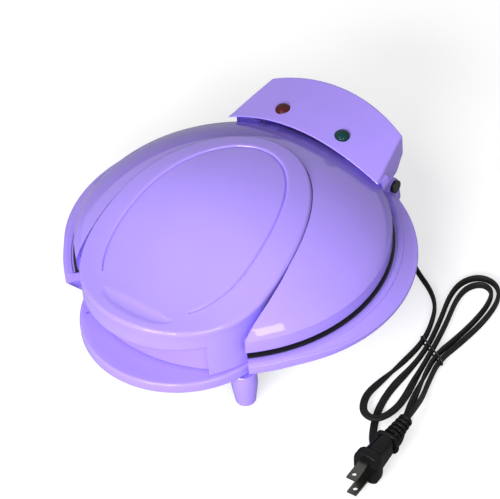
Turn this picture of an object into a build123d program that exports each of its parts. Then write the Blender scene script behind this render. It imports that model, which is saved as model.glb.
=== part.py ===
"""Cake pop maker: a round countertop cooker with a hinged lid, two plates of half-round
cups, an oval grip that overhangs the front, and a flat mains cord.

Millimetres. Z is up from the floor, the grip faces -Y, the hinge is at +Y, and the origin
is on the floor below the middle of the body.
"""
from build123d import *
from math import cos, dist, pi, radians, sin, sqrt, tan
import os

os.makedirs("parts", exist_ok=True)

# Plan sizes, measured from the axis of the round dish
lid_radius = 98.0
flange_front_radius = lid_radius + 8.0
flange_lobe_radius = lid_radius - 2.0
flange_lobe_x = 17.0
flange_lobe_y = 6.0
flange_corner_radius = 60.0
tongue_radius = 63.0
tongue_centre_y = tongue_radius - lid_radius - 19.0
grip_radius = 63.3
grip_centre_y = grip_radius - lid_radius - 14.3
grip_rear_reach = 98.0
housing_front_y = lid_radius - 25.0
housing_front_half = 57.7
housing_rear_half = 49.2
housing_rear_y = lid_radius + 21.5
housing_rear_radius = 150.0
notch_angle = 41.5

# Levels above the floor
cover_base_z = 9.8
bowl_floor_z = 12.0
tongue_low_z = 27.0
tongue_top_z = 34.2
tower_low_z = 34.6
flange_low_z = 40.0
flange_edge_z = 42.0
flange_rise_z = 46.8
bead_top_z = 47.6
seat_z = 46.9
plate_low_z = 48.6
plate_high_z = 48.9
lid_edge_z = 50.0
dome_top_z = 99.6
grip_lip_low_z = 57.0
housing_low_z = 56.5

# Walls, clearances and small features
wall = 2.5
seam_gap = 0.3
fit_gap = 0.3
plate_wall = 2.0
shoulder_radius = 5.0

# The two plates: their rims, and the core that fills the front behind the recess wall
lower_rim_radius = lid_radius + 1.5
upper_rim_radius = lid_radius - 1.5
rim_thickness = 1.4
core_radius = lid_radius - 4.5
core_side_radius = grip_radius - 7.3

# Cooking cups: nine in an outer ring and three inside it
cup_wall = 1.8
outer_ring_radius = lid_radius - 32.0
inner_ring_radius = 0.3864 * outer_ring_radius
cup_radius = 0.2879 * outer_ring_radius
outer_cups = 9
inner_cups = 3

# Hinge
hinge_y = lid_radius
hinge_z = 46.5
pin_radius = 2.5
pin_clearance = 0.05
knuckle_radius = 5.0
ear_inner_x = 43.0
ear_outer_x = 52.0
lug_inner_x = 35.0

# Grip and dome shapes
grip_lean = 0.1
grip_edge_z = 74.0
grip_block_top_z = 104.0
dome_sphere_radius = 1.4776 * lid_radius
cutout_half = grip_radius + 2.1
cutout_draw = 1.3
cutout_straight_y = grip_centre_y - 12.0
cutout_rear_y = grip_centre_y + 18.0
gutter_floor_z = 51.2
gutter_wall = 2.0
gutter_rear_y = grip_centre_y - 5.0
tower_gap = 0.3
tower_inner_radius = lid_radius - 4.0
recess_radius = lid_radius - 1.4
recess_half = 47.0
grip_top_wall = 3.0
side_wall_low_z = 72.0
lug_top_z = 62.0
boss_radius = 3.5
washer_radius = 4.8
boss_screw_radius = 1.2
grip_bosses = ((-30, grip_centre_y + 29), (30, grip_centre_y + 29), (0, grip_centre_y + 79))
housing_bosses = ((-36, hinge_y - 16), (36, hinge_y - 16))

# Crown of the grip: place from the grip's centre, height on the middle line, fall with the
# square of the way out
grip_profile = (
    (109, 89.8, 0.0040),
    (89, 95.9, 0.0039),
    (69, 99.7, 0.0035),
    (49, 101.4, 0.0036),
    (33, 100.2, 0.0036),
    (17, 97.6, 0.0037),
    (1, 92.3, 0.0035),
    (-15, 86.0, 0.0030),
    (-37, 79.2, 0.0027),
    (-51, 76.4, 0.0026),
    (-69, 73.2, 0.0026),
)
grip_crown = tuple((grip_centre_y + way, high, fall) for way, high, fall in grip_profile)
# How far the inner field of the grip lies below the crown, at the same places
field_drops = (0.8, 0.8, 0.8, 0.8, 0.8, 0.75, 0.65, 0.4, -0.2, -0.6, -1.0)
field_centre_y = grip_centre_y + 5.0
field_half = 45.7
field_rear = 81.0
field_front = 59.0
dimple_y = grip_centre_y - 46.0
dimple_top_z = 77.4
dimple_half = (26.0, 13.0, 4.0)
dimple_depth = 1.8
dimple_tilt = 16.0

# Crown, outline and lamps of the hinge housing
housing_crown = (
    (housing_front_y - 13, 85.9, 0.0053),
    (housing_front_y, 86.3, 0.0048),
    (housing_front_y + 23, 87.0, 0.0040),
    (housing_front_y + 52, 87.6, 0.0030),
)
housing_wall = 2.2
housing_corner = 8.0
lamp_x = 22.6
lamp_y = hinge_y - 13.0
lens_radius = 5.0
lens_top_z = 87.2
lens_low_z = 80.0
lens_wall = 1.2
lamp_radius = 2.6
lamp_holder_z = 75.0
lens_edge_z = 84.8
lamp_length = 6.0
lamp_holder_wall = 1.6
holder_post_x = 9.0
holder_post_top_z = 83.2
pin_head_radius = 4.5
pin_head_height = 2.4
posts = 3
housing_screw_z = 61.0
housing_screw_length = 15.0
housing_boss_low_z = 71.4
housing_boss_top_z = 83.0
grip_boss_low_z = 91.0

# Base sections
bowl_foot_radius = lid_radius - 20.0
bowl_side_radius = lid_radius - 7.0
bowl_rim_radius = lid_radius + 2.7
bead_outer_radius = bowl_rim_radius + 3.8
flange_reach = lid_radius + 16.0
seat_inner_radius = lid_radius - fit_gap
floor_opening_radius = bowl_foot_radius - 12.0
tongue_edge_radius = 1.8
ear_root_y = hinge_y - 21.0
ear_root_low_z = 29.0
ear_tip_y = hinge_y + 4.5
ear_tip_z = 33.0
ear_tip_radius = 2.5
slot_front_y = hinge_y - 6.5
lug_root_y = hinge_y - 12.0
lug_low_y = hinge_y - 6.8
lug_low_z = 51.5
lug_root_z = 54.5
swing_relief_z = 44.2

# Bottom cover, feet and the cord's way out
cover_radius = bowl_foot_radius - 2.0
cover_screw_ring = bowl_foot_radius - 7.0
cover_screws = 4
screw_radius = 1.5
screw_hole_radius = 1.7
screw_head_radius = 3.2
screw_head_height = 1.8
foot_x = bowl_foot_radius - 21.5
foot_y = bowl_foot_radius - 10.2
foot_radius = 8.2
foot_tip_radius = 6.0
foot_round = 2.0
gland_angle = 66.0
gland_z = 21.0
gland_radius = 4.5
foot_seat_gap = 0.25
foot_taper_z = 16.0
vent_ring = 44.0
vents = 12
vent_length = 22.0
vent_width = 3.0

# Heating elements, shields and posts behind the plates
element_ring_radius = 45.75
element_radius = 3.2
element_pin_radius = 2.0
lower_element_z = 35.3
shield_low_z = plate_low_z - cup_radius - cup_wall - 2.8
shield_high_z = plate_high_z + cup_radius + cup_wall + 1.5
shield_wall = 0.8
lower_shield_radius = 80.0
upper_shield_radius = 62.0
post_ring = 38.0
post_radius = 3.5

# Thermostat, fuse and terminal block
thermostat_radius = 8.0
thermostat_low_z = shield_low_z + 1.2
thermostat_high_z = thermostat_low_z + 5.8
thermostat_neck = 4.0
fuse_radius = 2.2
fuse_length = 18.0
fuse_y = 20.0
fuse_lead_radius = 0.6
block_y = 18.0
block_length = 34.0
block_depth = 12.0
block_height = 9.0
block_pitch = 10.0
block_hole_radius = 2.0
block_hole_depth = 6.0

# Mains cord and plug
cord_radius = 1.6
edge_z = 2.9
turn_z = 2.6
flat_z = 1.9
over_z = 5.4
plug_z = 12.0
lead_count = 9
tail_count = 5
arc_share = 0.45
gap_skip_count = 28
gland_length = 13.0
gland_start = bowl_side_radius - 11.0
gland_lip_radius = 6.0
gland_lip_length = 2.0
strand_z = 4.0
tie_z = 3.75
strand_first = (120.4, 30.15)
strand_last = (137.2, 22.05)
tie_wire_radius = 0.65
tie_clearance = 0.4
tie_spread = 0.75
plug_start = (152.9, -36.0)
plug_lean = 3.5
relief_ribs = 5
relief_pitch = 3.7
relief_rib_length = 2.5
relief_core_radius = 3.6
relief_rib_radius = 4.5
relief_rib_growth = 0.3
collar_radius = 7.6
collar_length = 2.6
collar_start = 20.0
plug_sections = ((22.6, 11.0, 14.0, 4.0), (31.0, 15.0, 20.0, 4.5), (46.0, 17.0, 23.4, 4.0))
blade_spacing = 12.7
blade_width = 6.3
blade_thickness = 1.5
blade_length = 16.0
blade_hole_radius = 1.55
blade_hole_reach = 11.8

# The origin lies midway between the tip of the tongue and the back of the housing
front_reach = tongue_radius - tongue_centre_y
dish_y = (front_reach - housing_rear_y) / 2
dish_axis = Axis((0, dish_y, 0), (0, 0, 1))
hinge_plane = Plane((0, dish_y + hinge_y, hinge_z), x_dir=(0, 1, 0), z_dir=(1, 0, 0))
low_centre = (Align.CENTER, Align.CENTER, Align.MIN)
rear_drop = housing_rear_radius - sqrt(housing_rear_radius**2 - housing_rear_half**2)
rear_of = (Align.CENTER, Align.MIN, Align.CENTER)
rear_low = (Align.CENTER, Align.MIN, Align.MIN)
high_centre = (Align.CENTER, Align.CENTER, Align.MAX)
gland_direction = (cos(radians(gland_angle)), sin(radians(gland_angle)), 0)
gland_reach = bowl_side_radius - 6.0
gland_end = gland_start + gland_length
gland_point = (gland_reach * gland_direction[0], dish_y + gland_reach * gland_direction[1], gland_z)
gland_plane = Plane(gland_point, z_dir=gland_direction)


def level(z):
    """A horizontal plane at height z, centred on the dish's axis."""
    return Plane((0, dish_y, z))


def slice_at(y):
    """A vertical plane across the body, y behind the dish's axis, seen from the front."""
    return Plane((0, dish_y + y, 0), x_dir=(1, 0, 0), z_dir=(0, -1, 0))


def profile_plane(x=0.0):
    """A vertical plane along the body at x: local x is the way back, local y is height."""
    return Plane((x, dish_y, 0), x_dir=(0, 1, 0), z_dir=(1, 0, 0))


def round_outline(radius, centre_y, offset=0.0):
    """A plain circle about a point on the middle line."""
    with BuildSketch() as outline:
        with Locations((0, centre_y)):
            Circle(radius + offset)
    return outline.sketch


def grip_outline(offset):
    """The oval of the grip, grown by offset: a round front and a long elliptic back."""
    half = grip_radius + offset
    with BuildSketch() as outline:
        with BuildLine():
            EllipticalCenterArc((0, grip_centre_y), half, grip_rear_reach + offset, 0, arc_size=180)
            CenterArc((0, grip_centre_y), half, 180, 180)
        make_face()
    return outline.sketch


def flange_outline(offset):
    """A round flange with a wider lobe on each side, their corners smoothed."""
    with BuildSketch() as outline:
        Circle(flange_front_radius + offset)
        with Locations((flange_lobe_x, flange_lobe_y), (-flange_lobe_x, flange_lobe_y)):
            Circle(flange_lobe_radius + offset)
        fillet(outline.vertices(), flange_corner_radius)
    return outline.sketch


def housing_outline(offset):
    """The hinge housing in plan: straight front, raked sides and a bowed back."""
    with BuildSketch() as outline:
        with BuildLine():
            front_half = housing_front_half + offset
            rear_half = housing_rear_half + offset
            front_y = housing_front_y - offset
            corner_y = housing_rear_y - rear_drop + offset
            left_corner = (-rear_half, corner_y)
            right_corner = (rear_half, corner_y)
            Polyline(left_corner, (-front_half, front_y), (front_half, front_y), right_corner)
            ThreePointArc(right_corner, (0, housing_rear_y + offset), left_corner)
        make_face()
    return outline.sketch


def front_notch(inner_radius, side_radius, spread=0.0):
    """What a disc leaves free for the front of the lid: the front sector, widened by spread,
    outside a core that is inside both inner_radius and the two pillars' circle."""
    reach = 200.0
    side = reach * sin(radians(notch_angle))
    front = -reach * cos(radians(notch_angle))
    apex = spread / sin(radians(notch_angle))
    with BuildSketch() as core:
        Circle(inner_radius)
        with Locations((0, grip_centre_y)):
            Circle(side_radius, mode=Mode.INTERSECT)
    with BuildSketch() as notch:
        Polygon((0, apex), (-side, front + apex), (side, front + apex), align=None)
        add(core.sketch, mode=Mode.SUBTRACT)
    return notch.sketch


def lid_cutout(offset):
    """What the dome gives up for the grip: straight sides at the front, drawn in at the back."""
    with BuildSketch() as outline:
        with BuildLine():
            Spline(
                (cutout_half + offset, cutout_straight_y),
                (cutout_half - 0.3 + offset, cutout_straight_y + 14),
                (cutout_half - cutout_draw + offset, cutout_rear_y),
                tangents=((0, 1), (-0.08, 1)),
            )
            Line((cutout_half - cutout_draw + offset, cutout_rear_y), (0, cutout_rear_y))
            Line((0, cutout_rear_y), (0, -flange_front_radius))
            Line((0, -flange_front_radius), (cutout_half + offset, -flange_front_radius))
            Line((cutout_half + offset, -flange_front_radius), (cutout_half + offset, cutout_straight_y))
        make_face()
        mirror(about=Plane.YZ)
    return outline.sketch


def grip_block(offset):
    """The grip's oval as a solid whose walls lean out on the way up."""
    with BuildPart() as block:
        with BuildSketch(level(tower_low_z)):
            add(grip_outline(offset - grip_lean * (grip_edge_z - tower_low_z)))
        with BuildSketch(level(grip_block_top_z)):
            add(grip_outline(offset + grip_lean * (grip_block_top_z - grip_edge_z)))
        loft(ruled=True)
    return block.part


def crowned_block(sections, drop=0.0, floor_z=20.0, half=66.0):
    """A solid under a crowned surface: each section has its place, its height on the middle
    line and how much it falls with the square of the way out, and drop lowers them all."""
    with BuildPart() as block:
        for y, crown_z, fall in sections:
            edge_z = crown_z - fall * half**2 - drop
            with BuildSketch(slice_at(y)):
                with BuildLine():
                    ThreePointArc((-half, edge_z), (0, crown_z - drop), (half, edge_z))
                    Polyline((half, edge_z), (half, floor_z), (-half, floor_z), (-half, edge_z))
                make_face()
        loft()
    return block.part


def dome_height(x, y):
    """Height of the dome's outside above the floor at a point of its plan."""
    return dome_top_z - dome_sphere_radius + sqrt(dome_sphere_radius**2 - x**2 - y**2)


def dome_block(offset, low_z):
    """The lid's outside, grown by offset, as a solid of revolution down to low_z."""
    radius = lid_radius + offset
    sphere_radius = dome_sphere_radius + offset
    centre_z = dome_top_z - dome_sphere_radius
    shoulder_z = centre_z + sqrt(sphere_radius**2 - radius**2)
    half_way = sphere_radius * sin(radius / sphere_radius / 2)
    half_way_z = centre_z + sqrt(sphere_radius**2 - half_way**2)
    with BuildPart() as block:
        with BuildSketch(profile_plane()) as profile:
            with BuildLine():
                Polyline((0, centre_z + sphere_radius), (0, low_z), (radius, low_z), (radius, shoulder_z))
                ThreePointArc(
                    (radius, shoulder_z), (half_way, half_way_z), (0, centre_z + sphere_radius)
                )
            make_face()
            shoulder = profile.vertices().group_by(Axis.X)[-1].sort_by(Axis.Y)[-1]
            fillet(shoulder, shoulder_radius)
        revolve(axis=dish_axis)
    return block.part


# Base shell: bowl, flange, front tongue and hinge ears
with BuildPart() as flange:
    with BuildSketch(level(flange_low_z)):
        add(flange_outline(0))
    extrude(amount=bead_top_z - flange_low_z)
    with BuildSketch(profile_plane()):
        Polygon(
            (0, flange_low_z),
            (flange_reach, flange_low_z),
            (flange_reach, flange_edge_z),
            (bead_outer_radius, flange_rise_z),
            (bead_outer_radius, bead_top_z),
            (0, bead_top_z),
            align=None,
        )
    revolve(axis=dish_axis, mode=Mode.INTERSECT)

with BuildPart() as flange_hollow:
    with BuildSketch(level(flange_low_z - 1)):
        add(flange_outline(-wall))
        Circle(bowl_rim_radius + 0.5, mode=Mode.SUBTRACT)
    extrude(amount=bead_top_z - flange_low_z)
    with BuildSketch(profile_plane()):
        Polygon(
            (0, 0),
            (flange_reach, 0),
            (flange_reach, flange_edge_z - wall),
            (bead_outer_radius, flange_rise_z - wall),
            (0, flange_rise_z - wall),
            align=None,
        )
    revolve(axis=dish_axis, mode=Mode.INTERSECT)

with BuildPart() as tongue:
    with BuildSketch(level(tongue_low_z)):
        add(round_outline(tongue_radius, tongue_centre_y))
    extrude(amount=tongue_top_z - tongue_low_z)
    fillet(tongue.edges().group_by(Axis.Z)[-1], tongue_edge_radius)

with BuildPart() as bowl_hollow:
    with BuildSketch(profile_plane()):
        Polygon(
            (0, bowl_floor_z + wall),
            (bowl_foot_radius - 1.1, bowl_floor_z + wall),
            (bowl_side_radius - 2.2, tongue_low_z + 1.2),
            (lid_radius - 2.2, flange_low_z + 1.2),
            (seat_inner_radius, seat_z),
            (0, seat_z),
            align=None,
        )
    revolve(axis=dish_axis)
    with BuildSketch(level(tongue_top_z - wall)):
        add(front_notch(core_radius - wall, core_side_radius - wall, spread=wall))
    extrude(amount=bead_top_z - tongue_low_z, mode=Mode.SUBTRACT)

with BuildPart() as base_shell:
    with BuildSketch(profile_plane()):
        Polygon(
            (0, bowl_floor_z),
            (bowl_foot_radius, bowl_floor_z),
            (bowl_side_radius, tongue_low_z),
            (lid_radius, flange_low_z),
            (bowl_rim_radius, bead_top_z),
            (0, bead_top_z),
            align=None,
        )
    revolve(axis=dish_axis)
    add(flange.part)
    with BuildSketch(level(tongue_top_z)):
        add(front_notch(core_radius, core_side_radius))
    extrude(amount=bead_top_z, mode=Mode.SUBTRACT)
    add(tongue.part)
    for side in (1, -1):
        with BuildSketch(profile_plane(side * ear_inner_x)):
            with BuildLine():
                CenterArc((hinge_y, hinge_z), knuckle_radius, 0, 360)
                CenterArc((ear_tip_y, ear_tip_z), ear_tip_radius, 0, 360)
                Line((ear_root_y, ear_root_low_z), (ear_root_y, flange_low_z))
            make_hull()
        extrude(amount=side * (ear_outer_x - ear_inner_x))
    add(bowl_hollow.part, mode=Mode.SUBTRACT)
    add(flange_hollow.part, mode=Mode.SUBTRACT)
    with Locations(level(seat_z)):
        Cylinder(bowl_rim_radius, bead_top_z, align=low_centre, mode=Mode.SUBTRACT)
    with Locations(level(bowl_floor_z)):
        Cylinder(floor_opening_radius, wall, align=low_centre, mode=Mode.SUBTRACT)
    # Room for the lid's lugs, and for its skirt when it swings up
    slot_width = ear_inner_x - lug_inner_x + fit_gap
    slot_x = lug_inner_x - fit_gap + slot_width / 2
    for side in (1, -1):
        with Locations((side * slot_x, dish_y + slot_front_y, flange_low_z - 1)):
            Box(slot_width, 30, 20, align=(Align.CENTER, Align.MIN, Align.MIN), mode=Mode.SUBTRACT)
    with Locations((0, dish_y + bowl_rim_radius + 0.2, swing_relief_z)):
        Box(2 * lug_inner_x, 30, 20, align=(Align.CENTER, Align.MIN, Align.MIN), mode=Mode.SUBTRACT)
    with Locations(hinge_plane):
        Cylinder(pin_radius + pin_clearance, 2 * ear_outer_x + 2, mode=Mode.SUBTRACT)
        for side in (1, -1):
            with Locations((0, 0, side * (ear_outer_x + pin_head_height))):
                Cylinder(pin_head_radius + 0.2, 2 * pin_head_height, mode=Mode.SUBTRACT)
    with Locations(level(bowl_floor_z)), PolarLocations(cover_screw_ring, cover_screws, 45):
        Cylinder(screw_hole_radius, wall, align=low_centre, mode=Mode.SUBTRACT)
    with Locations(gland_plane):
        Cylinder(gland_radius + 0.05, gland_length, mode=Mode.SUBTRACT)
base_shell.part.label = "base_shell"
export_step(base_shell.part, "parts/base_shell.step")

# Bottom cover with its vents and screws
with BuildPart() as bottom_cover:
    with Locations(level(cover_base_z)):
        Cylinder(cover_radius, bowl_floor_z - cover_base_z, align=low_centre)
    fillet(bottom_cover.edges().group_by(Axis.Z)[0], 1.2)
    with Locations(level(cover_base_z)), PolarLocations(cover_screw_ring, cover_screws, 45):
        Cylinder(screw_hole_radius, 4, align=low_centre, mode=Mode.SUBTRACT)
    with BuildSketch(level(cover_base_z)):
        with PolarLocations(vent_ring, vents):
            SlotOverall(vent_length, vent_width)
    extrude(amount=bowl_floor_z - cover_base_z, mode=Mode.SUBTRACT)
bottom_cover.part.label = "bottom_cover"
export_step(bottom_cover.part, "parts/bottom_cover.step")

with BuildPart() as cover_screws_set:
    with Locations(level(cover_base_z)), PolarLocations(cover_screw_ring, cover_screws, 45):
        Cylinder(screw_radius, bowl_floor_z + wall - cover_base_z, align=low_centre)
    with Locations(level(cover_base_z - screw_head_height)):
        with PolarLocations(cover_screw_ring, cover_screws, 45):
            Cylinder(screw_head_radius, screw_head_height, align=low_centre)
    fillet(cover_screws_set.edges().group_by(Axis.Z)[0], 0.7)
cover_screws_set.part.label = "bottom_cover_screws"
export_step(cover_screws_set.part, "parts/bottom_cover_screws.step")

# Feet: tapered legs, rounded at the floor and cut to the bowl above
with BuildPart() as bowl_outside:
    with BuildSketch(profile_plane()):
        Polygon(
            (0, bowl_floor_z - foot_seat_gap),
            (bowl_foot_radius + foot_seat_gap, bowl_floor_z - foot_seat_gap),
            (bowl_side_radius + foot_seat_gap, tongue_low_z),
            (lid_radius + foot_seat_gap, flange_low_z),
            (0, flange_low_z),
            align=None,
        )
    revolve(axis=dish_axis)
    with Locations((0, dish_y + tongue_centre_y, tongue_low_z - foot_seat_gap)):
        Cylinder(tongue_radius + foot_seat_gap, flange_low_z, align=low_centre)
    with Locations(level(cover_base_z - foot_seat_gap)):
        Cylinder(cover_radius + foot_seat_gap, bowl_floor_z, align=low_centre)

foot_names = {(1, -1): "foot_front_right", (-1, -1): "foot_front_left"}
foot_names.update({(1, 1): "foot_rear_right", (-1, 1): "foot_rear_left"})
feet = {}
for (side, end), foot_name in foot_names.items():
    foot_place = Plane((side * foot_x, dish_y + end * foot_y, 0), x_dir=(1, 0, 0), z_dir=(0, -1, 0))
    foot_axis = Axis(foot_place.origin, (0, 0, 1))
    foot_top = tongue_low_z - foot_seat_gap if end < 0 else flange_low_z - foot_seat_gap
    with BuildPart() as foot:
        with BuildSketch(foot_place):
            with BuildLine():
                Polyline((foot_radius, foot_taper_z), (foot_radius, foot_top), (0, foot_top), (0, 0))
                Line((0, 0), (foot_tip_radius, 0))
                Line((foot_tip_radius, 0), (foot_radius, foot_taper_z))
            make_face()
        revolve(axis=foot_axis)
        fillet(foot.edges().group_by(Axis.Z)[0], foot_round)
        add(bowl_outside.part, mode=Mode.SUBTRACT)
    foot.part.label = foot_name
    export_step(foot.part, f"parts/{foot_name}.step")
    feet[foot_name] = foot.part


def cup_places(z):
    """The middles of the cups at height z: an outer ring and an inner one between its cups."""
    places = []
    for ring_radius, count, first in (
        (outer_ring_radius, outer_cups, 10.0),
        (inner_ring_radius, inner_cups, 30.0),
    ):
        for number in range(count):
            angle = radians(first + 360.0 / count * number)
            places.append((ring_radius * cos(angle), dish_y + ring_radius * sin(angle), z))
    return places


# Lower plate: flat rim on the seat, thicker middle, twelve half-round cups
with BuildPart() as lower_plate:
    with BuildSketch(level(plate_low_z - rim_thickness)):
        Circle(lower_rim_radius)
        add(front_notch(core_radius - fit_gap, core_side_radius - fit_gap, fit_gap), mode=Mode.SUBTRACT)
    extrude(amount=rim_thickness)
    with BuildSketch(level(plate_low_z - plate_wall)):
        Circle(seat_inner_radius - 0.5)
        core_edge = wall + fit_gap
        add(front_notch(core_radius - core_edge, core_side_radius - core_edge, core_edge), mode=Mode.SUBTRACT)
    extrude(amount=plate_wall)
    for side in (1, -1):
        with Locations((side * slot_x, dish_y + slot_front_y - 2 * fit_gap, plate_low_z)):
            Box(slot_width + 2 * fit_gap, 20, 10, align=rear_of, mode=Mode.SUBTRACT)
    with Locations(cup_places(plate_low_z)):
        Sphere(cup_radius + cup_wall, arc_size1=-90, arc_size2=0, align=high_centre)
    with Locations(cup_places(plate_low_z)):
        Sphere(cup_radius, arc_size1=-90, arc_size2=0, align=high_centre, mode=Mode.SUBTRACT)
lower_plate.part.label = "lower_plate"
export_step(lower_plate.part, "parts/lower_plate.step")

# Upper plate: the same cups turned over
with BuildPart() as upper_plate:
    with BuildSketch(level(plate_high_z)):
        Circle(upper_rim_radius)
        add(front_notch(core_radius - fit_gap, core_side_radius - fit_gap, fit_gap), mode=Mode.SUBTRACT)
    extrude(amount=lid_edge_z - fit_gap - plate_high_z)
    with BuildSketch(level(plate_high_z)):
        Circle(lid_radius - wall - fit_gap)
        add(front_notch(core_radius - fit_gap, core_side_radius - fit_gap, fit_gap), mode=Mode.SUBTRACT)
    extrude(amount=plate_wall)
    with Locations(cup_places(plate_high_z)):
        Sphere(cup_radius + cup_wall, arc_size1=0, arc_size2=90, align=low_centre)
    with Locations(cup_places(plate_high_z)):
        Sphere(cup_radius, arc_size1=0, arc_size2=90, align=low_centre, mode=Mode.SUBTRACT)
upper_plate.part.label = "upper_plate"
export_step(upper_plate.part, "parts/upper_plate.step")


def heating_element(ring_z, pin_end_z):
    """A tubular element: an open ring between the rings of cups, its ends bent to pins."""
    with BuildPart() as element:
        with Locations(Plane((0, dish_y, ring_z), x_dir=(sin(radians(10)), cos(radians(10)), 0))):
            Torus(element_ring_radius, element_radius, major_angle=340)
        for side in (1, -1):
            end_x = side * element_ring_radius * sin(radians(10))
            end_y = dish_y + element_ring_radius * cos(radians(10))
            with Locations((end_x, end_y, ring_z)):
                Sphere(element_radius)
            with Locations((end_x, end_y, (ring_z + pin_end_z) / 2)):
                Cylinder(element_pin_radius, abs(ring_z - pin_end_z))
    return element.part


lower_element = heating_element(lower_element_z, shield_low_z - 6)
lower_element.label = "lower_element"
export_step(lower_element, "parts/lower_element.step")
upper_element = heating_element(plate_low_z + plate_high_z - lower_element_z, shield_high_z + 4)
upper_element.label = "upper_element"
export_step(upper_element, "parts/upper_element.step")


# Lid shell: a shallow dome on a straight skirt, cut away for the grip
with BuildPart() as gutter:
    add(dome_block(-0.5, gutter_floor_z))
    with BuildSketch(level(gutter_floor_z)):
        add(lid_cutout(gutter_wall))
    extrude(amount=dome_top_z, mode=Mode.INTERSECT)
    with Locations((0, dish_y + gutter_rear_y, 0)):
        Box(4 * lid_radius, 2 * lid_radius, 4 * dome_top_z, align=rear_of, mode=Mode.SUBTRACT)

with BuildPart() as tower_room:
    add(grip_block(tower_gap))
    with Locations((0, dish_y + gutter_rear_y, 0)):
        Box(4 * lid_radius, 4 * lid_radius, 4 * dome_top_z, align=rear_of, mode=Mode.SUBTRACT)

with BuildPart() as lid_shell:
    add(dome_block(0, lid_edge_z))
    add(dome_block(-wall, lid_edge_z), mode=Mode.SUBTRACT)
    for side in (1, -1):
        with BuildSketch(profile_plane(side * lug_inner_x)):
            with BuildLine():
                CenterArc((hinge_y, hinge_z), knuckle_radius, 0, 360)
                Polyline((lug_low_y, lug_low_z), (lug_low_y, lug_top_z), (hinge_y - 1, lug_top_z))
            make_hull()
            with BuildLine():
                Polyline(
                    (lug_root_y, lug_root_z),
                    (lug_root_y, lug_top_z),
                    (hinge_y - 1, lug_top_z),
                    (lug_low_y, lug_low_z),
                    close=True,
                )
            make_face()
        extrude(amount=side * (ear_inner_x - fit_gap - lug_inner_x))
    with Locations(level(lid_edge_z)):
        Cylinder(lid_radius - wall, lug_top_z - lid_edge_z - 2, align=low_centre, mode=Mode.SUBTRACT)
    with Locations(hinge_plane):
        Cylinder(pin_radius + pin_clearance, 2 * ear_outer_x, mode=Mode.SUBTRACT)
    add(gutter.part)
    with BuildSketch(level(gutter_floor_z + gutter_wall)):
        add(lid_cutout(0))
    extrude(amount=dome_top_z, mode=Mode.SUBTRACT)
    with BuildSketch(level(lid_edge_z - 1)):
        add(front_notch(1, 60))
    extrude(amount=3 * gutter_wall, mode=Mode.SUBTRACT)
    add(tower_room.part, mode=Mode.SUBTRACT)
    for x, y in grip_bosses:
        with Locations((x, dish_y + y, lug_top_z)):
            Cylinder(boss_radius + fit_gap, dome_top_z, align=low_centre, mode=Mode.SUBTRACT)
    for x, y in housing_bosses:
        with Locations((x, dish_y + y, housing_screw_z)):
            Cylinder(boss_screw_radius + 0.2, dome_top_z, align=low_centre, mode=Mode.SUBTRACT)
lid_shell.part.label = "lid_shell"
export_step(lid_shell.part, "parts/lid_shell.step")

# Grip: the raised oval over the dome, and the hollow tower below its overhanging front
with BuildPart() as grip_hollow:
    add(grip_block(-wall))
    add(crowned_block(grip_crown, drop=grip_top_wall), mode=Mode.INTERSECT)
    with BuildSketch(level(tower_low_z - 1)):
        Rectangle(4 * lid_radius, 4 * lid_radius)
        Circle(tower_inner_radius, mode=Mode.SUBTRACT)
    extrude(amount=grip_lip_low_z + wall - tower_low_z + 1, mode=Mode.SUBTRACT)
    with Locations((0, dish_y + cutout_rear_y - wall, 0)):
        Box(4 * lid_radius, 4 * lid_radius, 4 * dome_top_z, align=rear_of, mode=Mode.SUBTRACT)

with BuildPart() as dome_below_grip:
    add(dome_block(fit_gap, 0))
    with Locations((0, dish_y + cutout_rear_y, 0)):
        Box(4 * lid_radius, 4 * lid_radius, 4 * dome_top_z, align=rear_of, mode=Mode.INTERSECT)

with BuildPart() as grip_field:
    with BuildSketch(level(grip_lip_low_z)):
        with BuildLine():
            EllipticalCenterArc((0, field_centre_y), field_half, field_rear, 0, arc_size=180)
            EllipticalCenterArc((0, field_centre_y), field_half, field_front, 180, arc_size=180)
        make_face()
    extrude(amount=dome_top_z)
    field_crown = [(y, z - drop, fall) for (y, z, fall), drop in zip(grip_crown, field_drops)]
    add(crowned_block(field_crown), mode=Mode.SUBTRACT)

dimple_move = Pos(0, dish_y + dimple_y, dimple_top_z + dimple_half[2] - dimple_depth)
dimple = dimple_move * Rot(dimple_tilt, 0, 0) * scale(Sphere(1), by=dimple_half)

with BuildPart() as lid_grip:
    add(grip_block(0))
    add(crowned_block(grip_crown), mode=Mode.INTERSECT)
    add(dome_below_grip.part, mode=Mode.SUBTRACT)
    with Locations((0, dish_y + gutter_rear_y, 0)):
        Box(4 * lid_radius, cutout_rear_y - gutter_rear_y, side_wall_low_z,
            align=rear_low, mode=Mode.SUBTRACT)
    with BuildSketch(level(0)):
        Rectangle(4 * lid_radius, 4 * lid_radius)
        add(front_notch(1, 60), mode=Mode.SUBTRACT)
    extrude(amount=gutter_floor_z + gutter_wall + tower_gap, mode=Mode.SUBTRACT)
    add(grip_hollow.part, mode=Mode.SUBTRACT)
    with BuildSketch(level(tower_low_z - 1)):
        Rectangle(2 * recess_half, 4 * lid_radius)
        Circle(recess_radius, mode=Mode.SUBTRACT)
    extrude(amount=grip_lip_low_z - tower_low_z + 1, mode=Mode.SUBTRACT)
    add(grip_field.part, mode=Mode.SUBTRACT)
    add(dimple, mode=Mode.SUBTRACT)
    for x, y in grip_bosses:
        with Locations((x, dish_y + y, grip_boss_low_z)):
            Cylinder(boss_radius, dome_height(x, y) + 1 - grip_boss_low_z, align=low_centre)
            Cylinder(boss_screw_radius + 0.1, 5, align=low_centre, mode=Mode.SUBTRACT)
lid_grip.part.label = "lid_grip"
export_step(lid_grip.part, "parts/lid_grip.step")

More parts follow.
